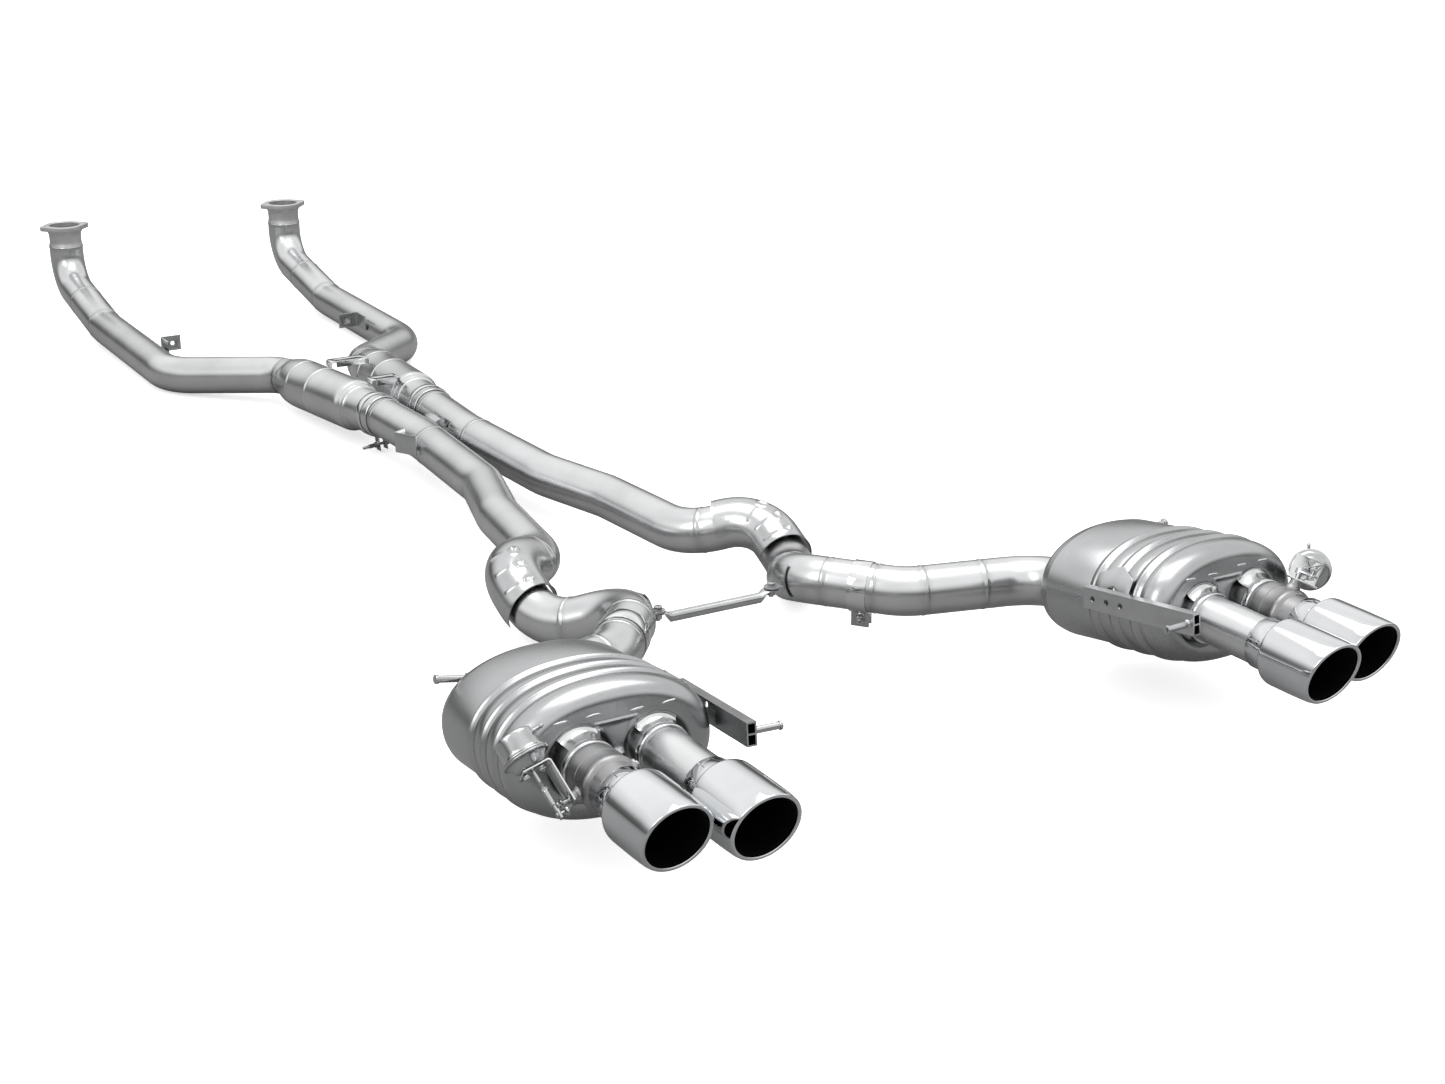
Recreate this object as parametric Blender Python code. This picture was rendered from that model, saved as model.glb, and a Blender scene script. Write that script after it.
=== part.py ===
"""Twin-pipe racing exhaust system: two mirrored pipe runs from the engine flanges to four tips.

Metres, +Z up, +Y towards the engine, +X to the right-hand run. The origin is under the middle of
the system, at the height of its lowest point.
"""

import math

import bmesh
import bpy
from mathutils import Matrix, Vector

# Tube stock
PIPE_R = 0.040
OUTLET_R = 0.035
WALL = 0.002
GAP = 0.0003
BEAD_RISE = 0.0018
PIPE_SIDES = 12

# Centre line of one run: corner points and the bend radius at each inner corner
CORNERS = (
    (0.282, 1.764, 0.257),
    (0.282, 1.764, 0.117),
    (0.281, 1.466, 0.061),
    (0.281, 0.985, 0.055),
    (0.093, 0.781, 0.078),
    (0.054, 0.296, 0.0965),
    (0.046, 0.120, 0.094),
    (0.064, -0.185, 0.089),
    (0.109, -0.346, 0.085),
    (0.138, -0.587, 0.077),
    (0.242, -0.651, 0.111),
    (0.239, -0.789, 0.046),
    (0.133, -0.911, 0.107),
    (0.262, -1.062, 0.102),
    (0.476, -1.133, 0.108),
    (0.487, -1.300, 0.132),
)
BEND_RADII = (
    0.088,
    0.208,
    0.151,
    0.100,
    0.150,
    0.150,
    0.150,
    0.150,
    0.120,
    0.087,
    0.120,
    0.095,
    0.100,
    0.090,
)
BEND_STEP = math.radians(30)

# Inlet flange
FLANGE_TOP = 0.257
FLANGE_THICK = 0.011
FLANGE_BORE_R = 0.0360
FLANGE_HOLE_X = 0.0495
FLANGE_HOLE_R = 0.0045
FLANGE_EAR_R = 0.0095
FLANGE_WAIST_R = 0.047
NECK_LENGTH = 0.040

# Resonator, measured along its axis from its front end
RESONATOR_FRONT_Y = 0.735
RESONATOR_R = 0.0527
RESONATOR_LENGTH = 0.436
RESONATOR_SWAGES = (0.0835, 0.1720)
RESONATOR_REAR_CONE = (0.308, 0.333)
RESONATOR_NECK_R = 0.0433

# Muffler
MUFFLER_CENTRE = Vector((0.498, -1.408, 0.174))
MUFFLER_YAW = math.radians(3.8)
MUFFLER_PITCH = math.radians(7.8)
MUFFLER_ROLL = math.radians(-2.0)
MUFFLER_A = 0.142
MUFFLER_B = 0.089
MUFFLER_POWER = 2.18
MUFFLER_LENGTH = 0.256
MUFFLER_RIBS = (-0.010, 0.032, 0.074)
FRONT_CAP_DEPTH = 0.018
REAR_CAP_DEPTH = 0.036

# Outlets and tips
OUTER_X = 0.553
INNER_X = 0.450
OUTER_Z = 0.187
INNER_Z = 0.186
OUTER_TIP_Y = -1.773
INNER_TIP_Y = -1.800
TIP_R = 0.050
TIP_RIM_R = 0.048
TIP_OPENING_R = 0.042
TIP_SLEEVE = 0.098
TIP_COLLAR = 0.036
TIP_SLASH = 0.31

# Exhaust valve and its actuator, about the outer outlet
VALVE_Y = -1.593
VALVE_CLOCK = {"left": math.radians(196), "right": math.radians(62)}
VALVE_TRAVEL = math.radians(76)
SHAFT_R = 0.0040
LEVER_ARM = 0.016
LEVER_PLANE = 0.0650
LEVER_THICK = 0.003
ROD_LEAN = math.radians(45)
ROD_OFFSET = 0.0095
CRIMP_DISTANCE = 0.081
ACTUATOR_NOSE = 0.016
MOUNT_PLANE = 0.0525

# Ties
TIE_EYE = Vector((0.104, -0.917, 0.0900))
TIE_TUBE_DROP = 0.0100
TIE_TUBE_R = 0.0085
RESONATOR_TIES = (
    ("resonator_tie_front", 0.612, 0.136, 0.042),
    ("resonator_tie_rear", 0.416, 0.141, 0.031),
)

FINISHES = {
    "satin": ((0.62, 0.61, 0.59), 1.0, 0.34),
    "blasted": ((0.50, 0.50, 0.49), 1.0, 0.48),
    "bright": ((0.80, 0.80, 0.79), 1.0, 0.16),
    "chrome": ((0.86, 0.87, 0.88), 1.0, 0.06),
    "zinc": ((0.70, 0.70, 0.68), 1.0, 0.28),
}


def finish(body, kind):
    """Gives the body a material of its own."""
    colour, metallic, roughness = FINISHES[kind]
    material = bpy.data.materials.new(body.name)
    material.use_nodes = True
    shader = material.node_tree.nodes["Principled BSDF"]
    shader.inputs["Base Color"].default_value = (*colour, 1.0)
    shader.inputs["Metallic"].default_value = metallic
    shader.inputs["Roughness"].default_value = roughness
    material.diffuse_color = (*colour, 1.0)
    body.data.materials.clear()
    body.data.materials.append(material)


def body_from(name, mesh_maker, smooth=True):
    """Object from a function that fills a bmesh; faces are turned outwards."""
    shape = bmesh.new()
    mesh_maker(shape)
    bmesh.ops.recalc_face_normals(shape, faces=shape.faces)
    mesh = bpy.data.meshes.new(name)
    shape.to_mesh(mesh)
    shape.free()
    for face in mesh.polygons:
        face.use_smooth = smooth
    body = bpy.data.objects.new(name, mesh)
    bpy.context.scene.collection.objects.link(body)
    return body


def loft(name, loops, ring=False, smooth=True):
    """Skin through equal loops of points. A ring joins the last to the first; otherwise ends are capped."""

    def fill(shape):
        rows = [[shape.verts.new(point) for point in loop] for loop in loops]
        pairs = list(zip(rows, rows[1:]))
        if ring:
            pairs.append((rows[-1], rows[0]))
        for first, second in pairs:
            count = len(first)
            for i in range(count):
                j = (i + 1) % count
                shape.faces.new((first[i], first[j], second[j], second[i]))
        if not ring:
            shape.faces.new(rows[0])
            shape.faces.new(rows[-1])

    return body_from(name, fill, smooth)


def boolean(body, tool, operation):
    """Joins the tool to the body, or cuts it away, then drops the tool."""
    modifier = body.modifiers.new("shape", "BOOLEAN")
    modifier.operation = operation
    modifier.solver = "EXACT"
    modifier.object = tool
    graph = bpy.context.evaluated_depsgraph_get()
    shaped = bpy.data.meshes.new_from_object(body.evaluated_get(graph))
    body.modifiers.clear()
    body.data = shaped
    bpy.data.objects.remove(tool)


def join(body, *tools):
    for tool in tools:
        boolean(body, tool, "UNION")
    return body


def carve(body, *tools):
    for tool in tools:
        boolean(body, tool, "DIFFERENCE")
    return body


def clear(radius, sides):
    """Corner radius of a bore with this many sides that just clears a round bar of the radius."""
    return (radius + GAP) / math.cos(math.pi / sides)


def across(axis, hint=Vector((0, 0, 1))):
    """Two unit vectors square to the axis; the second is as near the hint as it can be."""
    axis = axis.normalized()
    if abs(axis.dot(hint)) > 0.95:
        hint = Vector((0, 1, 0))
    second = (hint - axis * hint.dot(axis)).normalized()
    return second.cross(axis), second


def circle(centre, u, v, radius, sides):
    steps = (2 * math.pi * i / sides for i in range(sides))
    return [centre + u * (radius * math.cos(a)) + v * (radius * math.sin(a)) for a in steps]


def turned(name, origin, axis, outer, inner=None, sides=20, smooth=True):
    """Body of revolution. outer and inner are (distance along the axis, radius) pairs."""
    axis = axis.normalized()
    u, v = across(axis)
    profile = list(outer) + list(reversed(inner or ()))
    loops = [circle(origin + axis * s, u, v, r, sides) for s, r in profile]
    return loft(name, loops, ring=inner is not None, smooth=smooth)


def rod(name, start, end, radius, sides=12):
    start, end = Vector(start), Vector(end)
    return turned(name, start, end - start, [(0, radius), ((end - start).length, radius)], None, sides)


def hexagon(name, start, axis, height, across_flats):
    corner_r = across_flats / 1.732
    return turned(name, start, axis, [(0, corner_r), (height, corner_r)], None, 6, False)


def block(name, centre, size, turn=Matrix.Identity(3)):
    """Box with its sides along the columns of turn."""
    centre = Vector(centre)
    half = [s / 2 for s in size]

    def corner(x, y, z):
        return centre + turn @ Vector((x * half[0], y * half[1], z * half[2]))

    loops = [[corner(-1, -1, k), corner(1, -1, k), corner(1, 1, k), corner(-1, 1, k)] for k in (-1, 1)]
    return loft(name, loops, smooth=False)


def strip(name, profile, thick, width):
    """Sheet of even thickness folded along the profile points, and as wide as the width vector."""
    profile = [Vector(p) for p in profile]
    side = width.normalized()
    normals = [(b - a).normalized().cross(side) for a, b in zip(profile, profile[1:])]
    loops = []
    for i, point in enumerate(profile):
        before = normals[max(i - 1, 0)]
        after = normals[min(i, len(normals) - 1)]
        mean = (before + after).normalized()
        offset = mean * (thick / 2 / max(mean.dot(before), 0.35))
        loops.append(
            [
                point + offset - width / 2,
                point + offset + width / 2,
                point - offset + width / 2,
                point - offset - width / 2,
            ]
        )
    return loft(name, loops, smooth=False)


def plate(name, outline, normal, thick):
    """Flat plate with the outline as its middle plane."""
    offset = normal.normalized() * (thick / 2)
    outline = [Vector(p) for p in outline]
    return loft(name, [[p - offset for p in outline], [p + offset for p in outline]], smooth=False)


def rounded_path(corners, radii, step):
    """Points along straight lines whose inner corners are rounded to the radii."""
    corners = [Vector(c) for c in corners]
    points = [corners[0]]
    for before, corner, after, radius in zip(corners, corners[1:], corners[2:], radii):
        towards, away = (corner - before).normalized(), (after - corner).normalized()
        angle = towards.angle(away)
        tangent = radius * math.tan(angle / 2)
        centre = corner + (away - towards).normalized() * (radius / math.cos(angle / 2))
        start = corner - towards * tangent - centre
        axis = towards.cross(away).normalized()
        count = max(1, round(angle / step))
        points += [centre + Matrix.Rotation(angle * i / count, 3, axis) @ start for i in range(count + 1)]
    points.append(corners[-1])
    return points


class Line:
    """Centre line with a frame carried along it without twist."""

    def __init__(self, points):
        self.points = points
        self.marks = [0.0]
        for a, b in zip(points, points[1:]):
            self.marks.append(self.marks[-1] + (b - a).length)

    def place(self, mark):
        """Point and direction at a distance along the line."""
        last = len(self.points) - 2
        i = min(max(sum(m <= mark for m in self.marks) - 1, 0), last)
        a, b = self.points[i], self.points[i + 1]
        ahead = (b - a).normalized()
        return a + ahead * (mark - self.marks[i]), ahead

    def near(self, y, after=0.0):
        """First distance past after at which the line reaches y going rearwards."""
        for a, b, mark in zip(self.points, self.points[1:], self.marks):
            length = (b - a).length
            if mark + length > after and a.y > y >= b.y:
                return mark + length * (a.y - y) / (a.y - b.y)
        return self.marks[-1]

    def frames(self, start, end, extra=()):
        """(mark, point, u, v) at the line's own points and the extra marks between start and end."""
        marks = {start, end}
        marks |= {m for m in self.marks if start + 0.004 < m < end - 0.004}
        marks = {m for m in marks if m in (start, end) or all(abs(m - e) > 0.002 for e in extra)}
        marks |= {e for e in extra if start <= e <= end}
        marks = sorted(marks)
        frames = []
        u = None
        for i, mark in enumerate(marks):
            point, ahead = self.place(mark)
            behind = self.place(mark - 1e-4)[1] if i else ahead
            ahead = (ahead + behind).normalized()
            if u is None:
                u = across(ahead)[0]
            u = (u - ahead * u.dot(ahead)).normalized()
            frames.append((mark, point, u, ahead.cross(u)))
        return frames


def pipe(name, line, start, end, radius=PIPE_R, wall=WALL, beads=(), sides=PIPE_SIDES):
    """Open tube along the line, with a raised ring at each bead."""
    extra = [b + d for b in beads for d in (-0.0035, 0.0, 0.0035)]
    raised = set(beads)
    outer = []
    for mark, point, u, v in line.frames(start, end, extra):
        rise = BEAD_RISE if mark in raised else 0.0
        outer.append(circle(point, u, v, radius + rise, sides))
    inner = [circle(p, u, v, radius - wall, sides) for _, p, u, v in line.frames(start, end)]
    return loft(name, outer + inner[::-1], ring=True)


def bar(name, points, radii, radius, sides=10):
    """Solid round bar along a line with rounded corners."""
    line = Line(rounded_path(points, radii, BEND_STEP))
    return loft(name, [circle(p, u, v, radius, sides) for _, p, u, v in line.frames(0, line.marks[-1])])


def oval(centre, u, v, a, b, power, sides):
    points = []
    for i in range(sides):
        angle = 2 * math.pi * i / sides
        c, s = math.cos(angle), math.sin(angle)
        x = math.copysign(abs(c) ** (2 / power), c) * a
        y = math.copysign(abs(s) ** (2 / power), s) * b
        points.append(centre + u * x + v * y)
    return points


def muffler_frame():
    """Rearward axis and the two section axes of the right-hand muffler."""
    axis = Vector(
        (
            math.sin(MUFFLER_YAW) * math.cos(MUFFLER_PITCH),
            -math.cos(MUFFLER_YAW) * math.cos(MUFFLER_PITCH),
            math.sin(MUFFLER_PITCH),
        )
    )
    flat = Vector((math.cos(MUFFLER_YAW), math.sin(MUFFLER_YAW), 0))
    up = flat.cross(axis) * -1
    up = up if up.z > 0 else -up
    c, s = math.cos(MUFFLER_ROLL), math.sin(MUFFLER_ROLL)
    return axis, flat * c + up * s, up * c - flat * s


def muffler_loop(s, inset=0.0, sides=28):
    axis, u, v = muffler_frame()
    centre = MUFFLER_CENTRE + axis * s
    return oval(centre, u, v, MUFFLER_A - inset, MUFFLER_B - inset, MUFFLER_POWER, sides)


def flange():
    """Two-bolt flange on a short machined neck."""
    x, y, _ = CORNERS[0]
    outline = []
    for i in range(30):
        angle = 2 * math.pi * (i + 0.5) / 30
        way = Vector((math.cos(angle), math.sin(angle), 0))
        rings = ((0, FLANGE_WAIST_R), (FLANGE_HOLE_X, FLANGE_EAR_R), (-FLANGE_HOLE_X, FLANGE_EAR_R))
        best = max(rings, key=lambda ring: ring[0] * way.x + ring[1])
        outline.append(Vector((x + best[0], y, FLANGE_TOP - FLANGE_THICK / 2)) + way * best[1])
    base = plate("inlet_flange", outline, Vector((0, 0, 1)), FLANGE_THICK)
    neck_top = FLANGE_TOP - FLANGE_THICK + 0.002
    neck = turned(
        "tool",
        Vector((x, y, neck_top)),
        Vector((0, 0, -1)),
        [(0, 0.0425), (0.006, 0.0425), (0.012, 0.0385), (0.034, 0.0385), (NECK_LENGTH, PIPE_R)],
        [(0, FLANGE_BORE_R + 0.0005), (NECK_LENGTH, FLANGE_BORE_R + 0.0005)],
        18,
    )
    join(base, neck)
    top = Vector((x, y, FLANGE_TOP + 0.005))
    down = Vector((0, 0, -0.07))
    carve(base, rod("tool", top, top + down, FLANGE_BORE_R, 18))
    for way in (-1, 1):
        hole = top + Vector((way * FLANGE_HOLE_X, 0, 0))
        carve(base, rod("tool", hole, hole + down / 3, FLANGE_HOLE_R, 10))
    return base


def resonator_axis(line):
    mark = line.near(RESONATOR_FRONT_Y)
    origin, ahead = line.place(mark)
    return mark, origin, ahead


def resonator(origin, ahead):
    """Round can with a domed front, two swaged rings and a coned rear neck."""
    cone_start, cone_end = RESONATOR_REAR_CONE
    outer = [(0, 0.0423), (0.012, 0.0423), (0.020, 0.0455), (0.036, 0.0500), (0.062, RESONATOR_R)]
    for swage in RESONATOR_SWAGES:
        outer += [(swage - 0.006, RESONATOR_R), (swage, RESONATOR_R - 0.0018), (swage + 0.006, RESONATOR_R)]
    outer += [
        (cone_start, RESONATOR_R),
        (cone_start + 0.016, 0.0490),
        (cone_end - 0.003, 0.0450),
        (cone_end, 0.0462),
        (cone_end + 0.004, 0.0462),
        (cone_end + 0.008, RESONATOR_NECK_R),
        (RESONATOR_LENGTH, RESONATOR_NECK_R),
    ]
    bore = clear(PIPE_R, 18)
    inner = [
        (0, bore),
        (0.020, bore),
        (0.062, RESONATOR_R - WALL),
        (cone_start - 0.002, RESONATOR_R - WALL),
        (cone_end, bore),
        (RESONATOR_LENGTH, bore),
    ]
    return turned("resonator_shell", origin, ahead, outer, inner, 18)


def clamp_band(name, centre, ahead, radius, width, opening_angle, ear, gap_half):
    """Band round a pipe whose two ends turn out into ears at the opening angle."""
    side, up = across(ahead)
    thick = 0.0018
    steps = 14
    mid = clear(radius + thick / 2, steps - 1)

    def around(angle, r):
        return centre + side * (r * math.cos(angle)) + up * (r * math.sin(angle))

    half = gap_half / mid
    way = around(opening_angle, 1.0) - centre
    cross = ahead.cross(way)
    tips = []
    for sign in (1, -1):
        start = around(opening_angle, mid) + cross * (sign * gap_half)
        tips.append(start + way * ear)
    sweep = 2 * math.pi - 2 * half
    ring = [around(opening_angle + half + sweep * i / steps, mid) for i in range(steps + 1)]
    return strip(name, [tips[0], *ring, tips[1]], thick, ahead * width)


def clamp_bolt(name, centre, ahead, radius, opening_angle, ear, reach, head):
    """Bolt through a clamp's ears, square to them."""
    side, up = across(ahead)
    way = side * math.cos(opening_angle) + up * math.sin(opening_angle)
    cross = ahead.cross(way)
    middle = centre + way * (radius + ear * 0.62)
    bolt = rod(name, middle - cross * reach[0], middle + cross * reach[1], 0.0030, 10)
    face = 0.0095
    join(bolt, hexagon("tool", middle + cross * face, cross, 0.006, head))
    join(bolt, hexagon("tool", middle - cross * (face + 0.006), cross, 0.006, head))
    return bolt, rod("tool", middle - cross * 0.009, middle + cross * 0.009, 0.0033, 10)


def heat_shield(line, start, end):
    """Stamped cover that stands off the top of the over-axle bend, with three pressed dimples."""
    loops = []
    inner_r = PIPE_R + 0.0062
    outer_r = inner_r + 0.0015
    spread = math.radians(100)
    steps = 8
    for mark, point, _, _ in line.frames(start, end):
        ahead = line.place(mark)[1]
        side, up = across(ahead, Vector((0.35, -0.15, 1)))
        angles = [math.pi / 2 - spread + 2 * spread * i / steps for i in range(steps + 1)]
        outside = [point + (side * math.cos(a) + up * math.sin(a)) * outer_r for a in angles]
        inside = [point + (side * math.cos(a) + up * math.sin(a)) * inner_r for a in angles]
        loops.append(outside + inside[::-1])
    return loft("heat_shield", loops)


def tip(name, x, z, rim_y):
    """Slash-cut tip: slotted collar, polished sleeve, rolled rim and a stepped throat."""
    back = rim_y + TIP_SLEEVE + TIP_COLLAR
    neck = back - TIP_COLLAR

    def loop(y, radius, slash, sides=20):
        points = circle(Vector((x, y, z)), Vector((1, 0, 0)), Vector((0, 0, 1)), radius, sides)
        return [p + Vector((0, -slash * (p.z - z), 0)) for p in points]

    bore = clear(OUTLET_R, 20)
    collar_r = bore + 0.0020
    outer = [
        loop(back, collar_r, 0),
        loop(neck + 0.006, collar_r, 0),
        loop(neck + 0.001, TIP_R - 0.006, 0),
        loop(neck - 0.010, TIP_R, 0),
        loop(rim_y + 0.020, TIP_R - 0.001, TIP_SLASH * 0.8),
        loop(rim_y + 0.002, TIP_RIM_R, TIP_SLASH),
        loop(rim_y, TIP_RIM_R - 0.0015, TIP_SLASH),
    ]
    inner = [
        loop(rim_y, TIP_OPENING_R + 0.0015, TIP_SLASH),
        loop(rim_y + 0.003, TIP_OPENING_R, TIP_SLASH),
        loop(rim_y + 0.030, TIP_OPENING_R, TIP_SLASH * 0.5),
        loop(neck - 0.004, TIP_OPENING_R, 0),
        loop(neck + 0.004, bore, 0),
        loop(back, bore, 0),
    ]
    return loft(name, outer + inner, ring=True)


def valve_axes(side_name, side):
    """Shaft, sideways and rod directions in the right-hand frame; the unit is clocked, not mirrored."""
    clock = VALVE_CLOCK[side_name]
    shaft = Vector((math.cos(clock), 0, math.sin(clock)))
    sideways = Vector((-math.sin(clock), 0, math.cos(clock)))
    shaft.x *= side
    sideways.x *= side
    rearward = Vector((0, -1, 0))
    reach = rearward * math.cos(ROD_LEAN) + sideways * math.sin(ROD_LEAN)
    lever = rearward * math.sin(ROD_LEAN) - sideways * math.cos(ROD_LEAN)
    return shaft, reach, lever


def set_side(body, side, suffix):
    """Mirrors the body across the middle plane for the left-hand run and names it."""
    if side < 0:
        body.data.transform(Matrix.Scale(-1, 4, Vector((1, 0, 0))))
        body.data.flip_normals()
    body.name = f"{body.name}_{suffix}"
    body.data.name = body.name


def set_origin(body, point):
    """Moves the body's origin, leaving its shape where it is."""
    body.data.transform(Matrix.Translation(-point))
    body.location = point


def front_run(line, made):
    """Flange to resonator."""
    made(flange(), "satin")
    res_mark, res_origin, res_ahead = resonator_axis(line)
    start = NECK_LENGTH + FLANGE_THICK - 0.002 + GAP
    beads = (start + 0.004, line.near(1.623), line.near(1.480), res_mark - 0.020, res_mark - 0.008)
    made(pipe("front_pipe", line, start, res_mark + 0.005, beads=beads), "satin")

    made(resonator(res_origin, res_ahead), "satin")
    clamp_centre = res_origin + res_ahead * 0.404
    ear, opening = 0.030, math.radians(-95)
    band = clamp_band("slip_clamp", clamp_centre, res_ahead, RESONATOR_NECK_R, 0.018, opening, ear, 0.008)
    bolt, hole = clamp_bolt(
        "slip_clamp_bolt", clamp_centre, res_ahead, RESONATOR_NECK_R, opening, ear, (0.020, 0.042), 0.010
    )
    made(carve(band, hole), "zinc")
    made(bolt, "zinc")


def front_bracket(line):
    """Folded tab with one hole, on the inner flank of the front pipe."""
    point, _ = line.place(line.near(1.150))
    foot = point + Vector((-PIPE_R - 0.0016, 0, PIPE_R * 0.50))
    tab = strip(
        "front_bracket",
        [
            foot + Vector((-0.0010, -0.030, 0.001)),
            foot + Vector((-0.0010, 0.024, 0.001)),
            foot + Vector((-0.046, 0.024, 0.001)),
        ],
        0.0025,
        Vector((0, 0, 0.034)),
    )
    hole = foot + Vector((-0.027, 0.024, 0.001))
    return carve(tab, rod("tool", hole - Vector((0, 0.02, 0)), hole + Vector((0, 0.02, 0)), 0.0048))


def mid_bracket(line):
    """Open triangular box of folded sheet on the outer flank of the link pipe."""
    point, _ = line.place(line.near(0.074))
    middle = point + Vector((0, 0, 0.015))
    return strip(
        "mid_bracket",
        [
            middle + Vector((PIPE_R + 0.0025, 0.034, 0)),
            middle + Vector((PIPE_R + 0.0300, 0.020, 0)),
            middle + Vector((PIPE_R + 0.0050, -0.026, 0)),
        ],
        0.0025,
        Vector((0, 0, 0.040)),
    )


def link_tab(line):
    """Small folded tab on the inner shoulder of the link pipe."""
    point, ahead = line.place(line.near(0.160))
    side, up = across(ahead)
    way = up * 0.5 - side * 0.866
    flat = way.cross(ahead)
    foot = point + way * (PIPE_R + 0.0022)
    fold = foot + flat * 0.007
    return strip("link_tab", [foot - flat * 0.009, fold, fold + way * 0.012], 0.0020, ahead * 0.050)


def tie_bracket(line):
    """Saddle on the inside of the rear U-bend with a level tab for the tie rod."""
    point, ahead = line.place(line.near(TIE_EYE.y + 0.004, line.near(-0.84)))
    side, up = across(ahead)
    thick = 0.0026
    radius = clear(PIPE_R + thick / 2, 14)
    start, end = math.radians(138), math.radians(222)
    angles = [start + (end - start) * i / 4 for i in range(5)]
    saddle = [point + (side * math.cos(a) + up * math.sin(a)) * (radius + 0.0006) for a in angles]
    bracket = strip("tie_bracket", saddle, thick, ahead * 0.034)
    tab_z = TIE_EYE.z + 0.0045
    inner, outer = TIE_EYE.x - 0.012, saddle[2].x + 0.0006
    centre = Vector(((inner + outer) / 2, TIE_EYE.y, tab_z))
    join(bracket, block("tool", centre, (outer - inner, 0.026, 0.0030)))
    eye = Vector((TIE_EYE.x, TIE_EYE.y, tab_z))
    return carve(bracket, rod("tool", eye - Vector((0, 0, 0.01)), eye + Vector((0, 0, 0.01)), 0.0043))


def middle_run(line, made):
    """Link pipe with its brackets and shield, the band clamp and the muffler inlet pipe."""
    res_mark, _, _ = resonator_axis(line)
    joint = line.near(-1.010, line.near(-0.95))
    start = res_mark + 0.394
    hump = line.near(-0.598)
    shield_end = line.near(-0.748)
    beads = (
        res_mark + RESONATOR_LENGTH + 0.012,
        line.near(0.075),
        hump,
        line.near(-0.824),
        joint - 0.055,
    )
    made(pipe("link_pipe", line, start, joint - GAP / 2, beads=beads), "satin")
    made(heat_shield(line, hump + 0.026, shield_end), "bright")
    made(front_bracket(line), "zinc")
    made(tie_bracket(line), "zinc")
    made(link_tab(line), "zinc")

    centre, ahead = line.place(joint)
    ear, opening = 0.026, math.radians(-86)
    band = clamp_band("band_clamp", centre, ahead, PIPE_R, 0.030, opening, ear, 0.008)
    bolt, hole = clamp_bolt("band_clamp_bolt", centre, ahead, PIPE_R, opening, ear, (0.022, 0.018), 0.013)
    made(carve(band, hole), "bright")
    made(bolt, "zinc")

    beads = (joint + 0.026, line.near(-1.071, joint), line.near(-1.102, joint))
    made(pipe("muffler_inlet_pipe", line, joint + GAP / 2, line.marks[-1], beads=beads), "satin")


def muffler(line, made):
    half = MUFFLER_LENGTH / 2
    front, rear = -half + FRONT_CAP_DEPTH, half - REAR_CAP_DEPTH
    stations = [(front, 0.0)]
    for rib in MUFFLER_RIBS:
        stations += [(rib - 0.008, 0.0), (rib, -0.003), (rib + 0.008, 0.0)]
    stations.append((rear, 0.0))
    outer = [muffler_loop(s, inset) for s, inset in stations]
    inner = [muffler_loop(s, WALL) for s in (rear, front)]
    made(loft("muffler_shell", outer + inner, ring=True), "blasted")

    cap = loft(
        "muffler_front_cap",
        [
            muffler_loop(-half, 0.012),
            muffler_loop(-half + 0.004, 0.005),
            muffler_loop(-half + 0.010, 0.0015),
            muffler_loop(front - GAP, 0.0),
            muffler_loop(front - GAP, 0.003),
            muffler_loop(-half + 0.009, 0.006),
            muffler_loop(-half + WALL, 0.014),
        ],
    )
    entry, ahead = line.place(line.marks[-1] - 0.02)
    carve(cap, rod("tool", entry - ahead * 0.06, entry + ahead * 0.06, clear(PIPE_R, 24), 24))
    made(cap, "blasted")

    face = half
    rear_cap = loft(
        "muffler_rear_cap",
        [
            muffler_loop(face - 0.008, 0.044),
            muffler_loop(face, 0.034),
            muffler_loop(face - 0.003, 0.024),
            muffler_loop(rear + 0.022, 0.010),
            muffler_loop(rear + 0.010, 0.002),
            muffler_loop(rear + GAP, 0.0),
            muffler_loop(rear + GAP, 0.003),
            muffler_loop(rear + 0.020, 0.013),
            muffler_loop(face - 0.003, 0.034),
            muffler_loop(face - 0.008 - WALL, 0.046),
        ],
    )
    for x, z in ((OUTER_X, OUTER_Z), (INNER_X, INNER_Z)):
        bore = Vector((x, MUFFLER_CENTRE.y - 0.05, z))
        carve(rear_cap, rod("tool", bore, bore + Vector((0, -0.12, 0)), clear(OUTLET_R, 24), 24))
    made(rear_cap, "blasted")
    made(muffler_hanger(), "zinc")
    made(front_pin(), "zinc")


def muffler_hanger():
    """Channel rail along the inner flank that ends in a box section with a pin pointing inwards."""
    start = Vector((0.3444, -1.408, 0.1925))
    end = Vector((0.3625, -1.622, 0.216))
    along = (end - start).normalized()
    side = along.cross(Vector((0, 0, 1))).normalized()
    side = side if side.x > 0 else -side
    up = side.cross(along)
    up = up if up.z > 0 else -up
    turn = Matrix((side, along, up)).transposed()
    length = (end - start).length
    rail = block("muffler_hanger", (start + end) / 2, (0.014, length, 0.032), turn)
    hollow = (start + end) / 2 - along * 0.001 + side * 0.002
    carve(rail, block("tool", hollow, (0.0135, length + 0.01, 0.028), turn))
    web = end - along * 0.045
    cells = block("tool", web, (0.014, 0.090, 0.032), turn)
    for shift in (-0.0075, 0.0075):
        carve(cells, block("tool", web + up * shift, (0.010, 0.12, 0.0125), turn))
    join(rail, cells)
    for reach in (0.018, 0.046, 0.074):
        hole = start + along * reach
        carve(rail, rod("tool", hole - side * 0.02, hole + side * 0.0, 0.0045))
    pin = end - along * 0.012 - side * 0.0065
    join(rail, rod("tool", pin + side * 0.0005, pin - side * 0.040, 0.0048))
    join(rail, rod("tool", pin - side * 0.037, pin - side * 0.041, 0.0062))
    return rail


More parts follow.
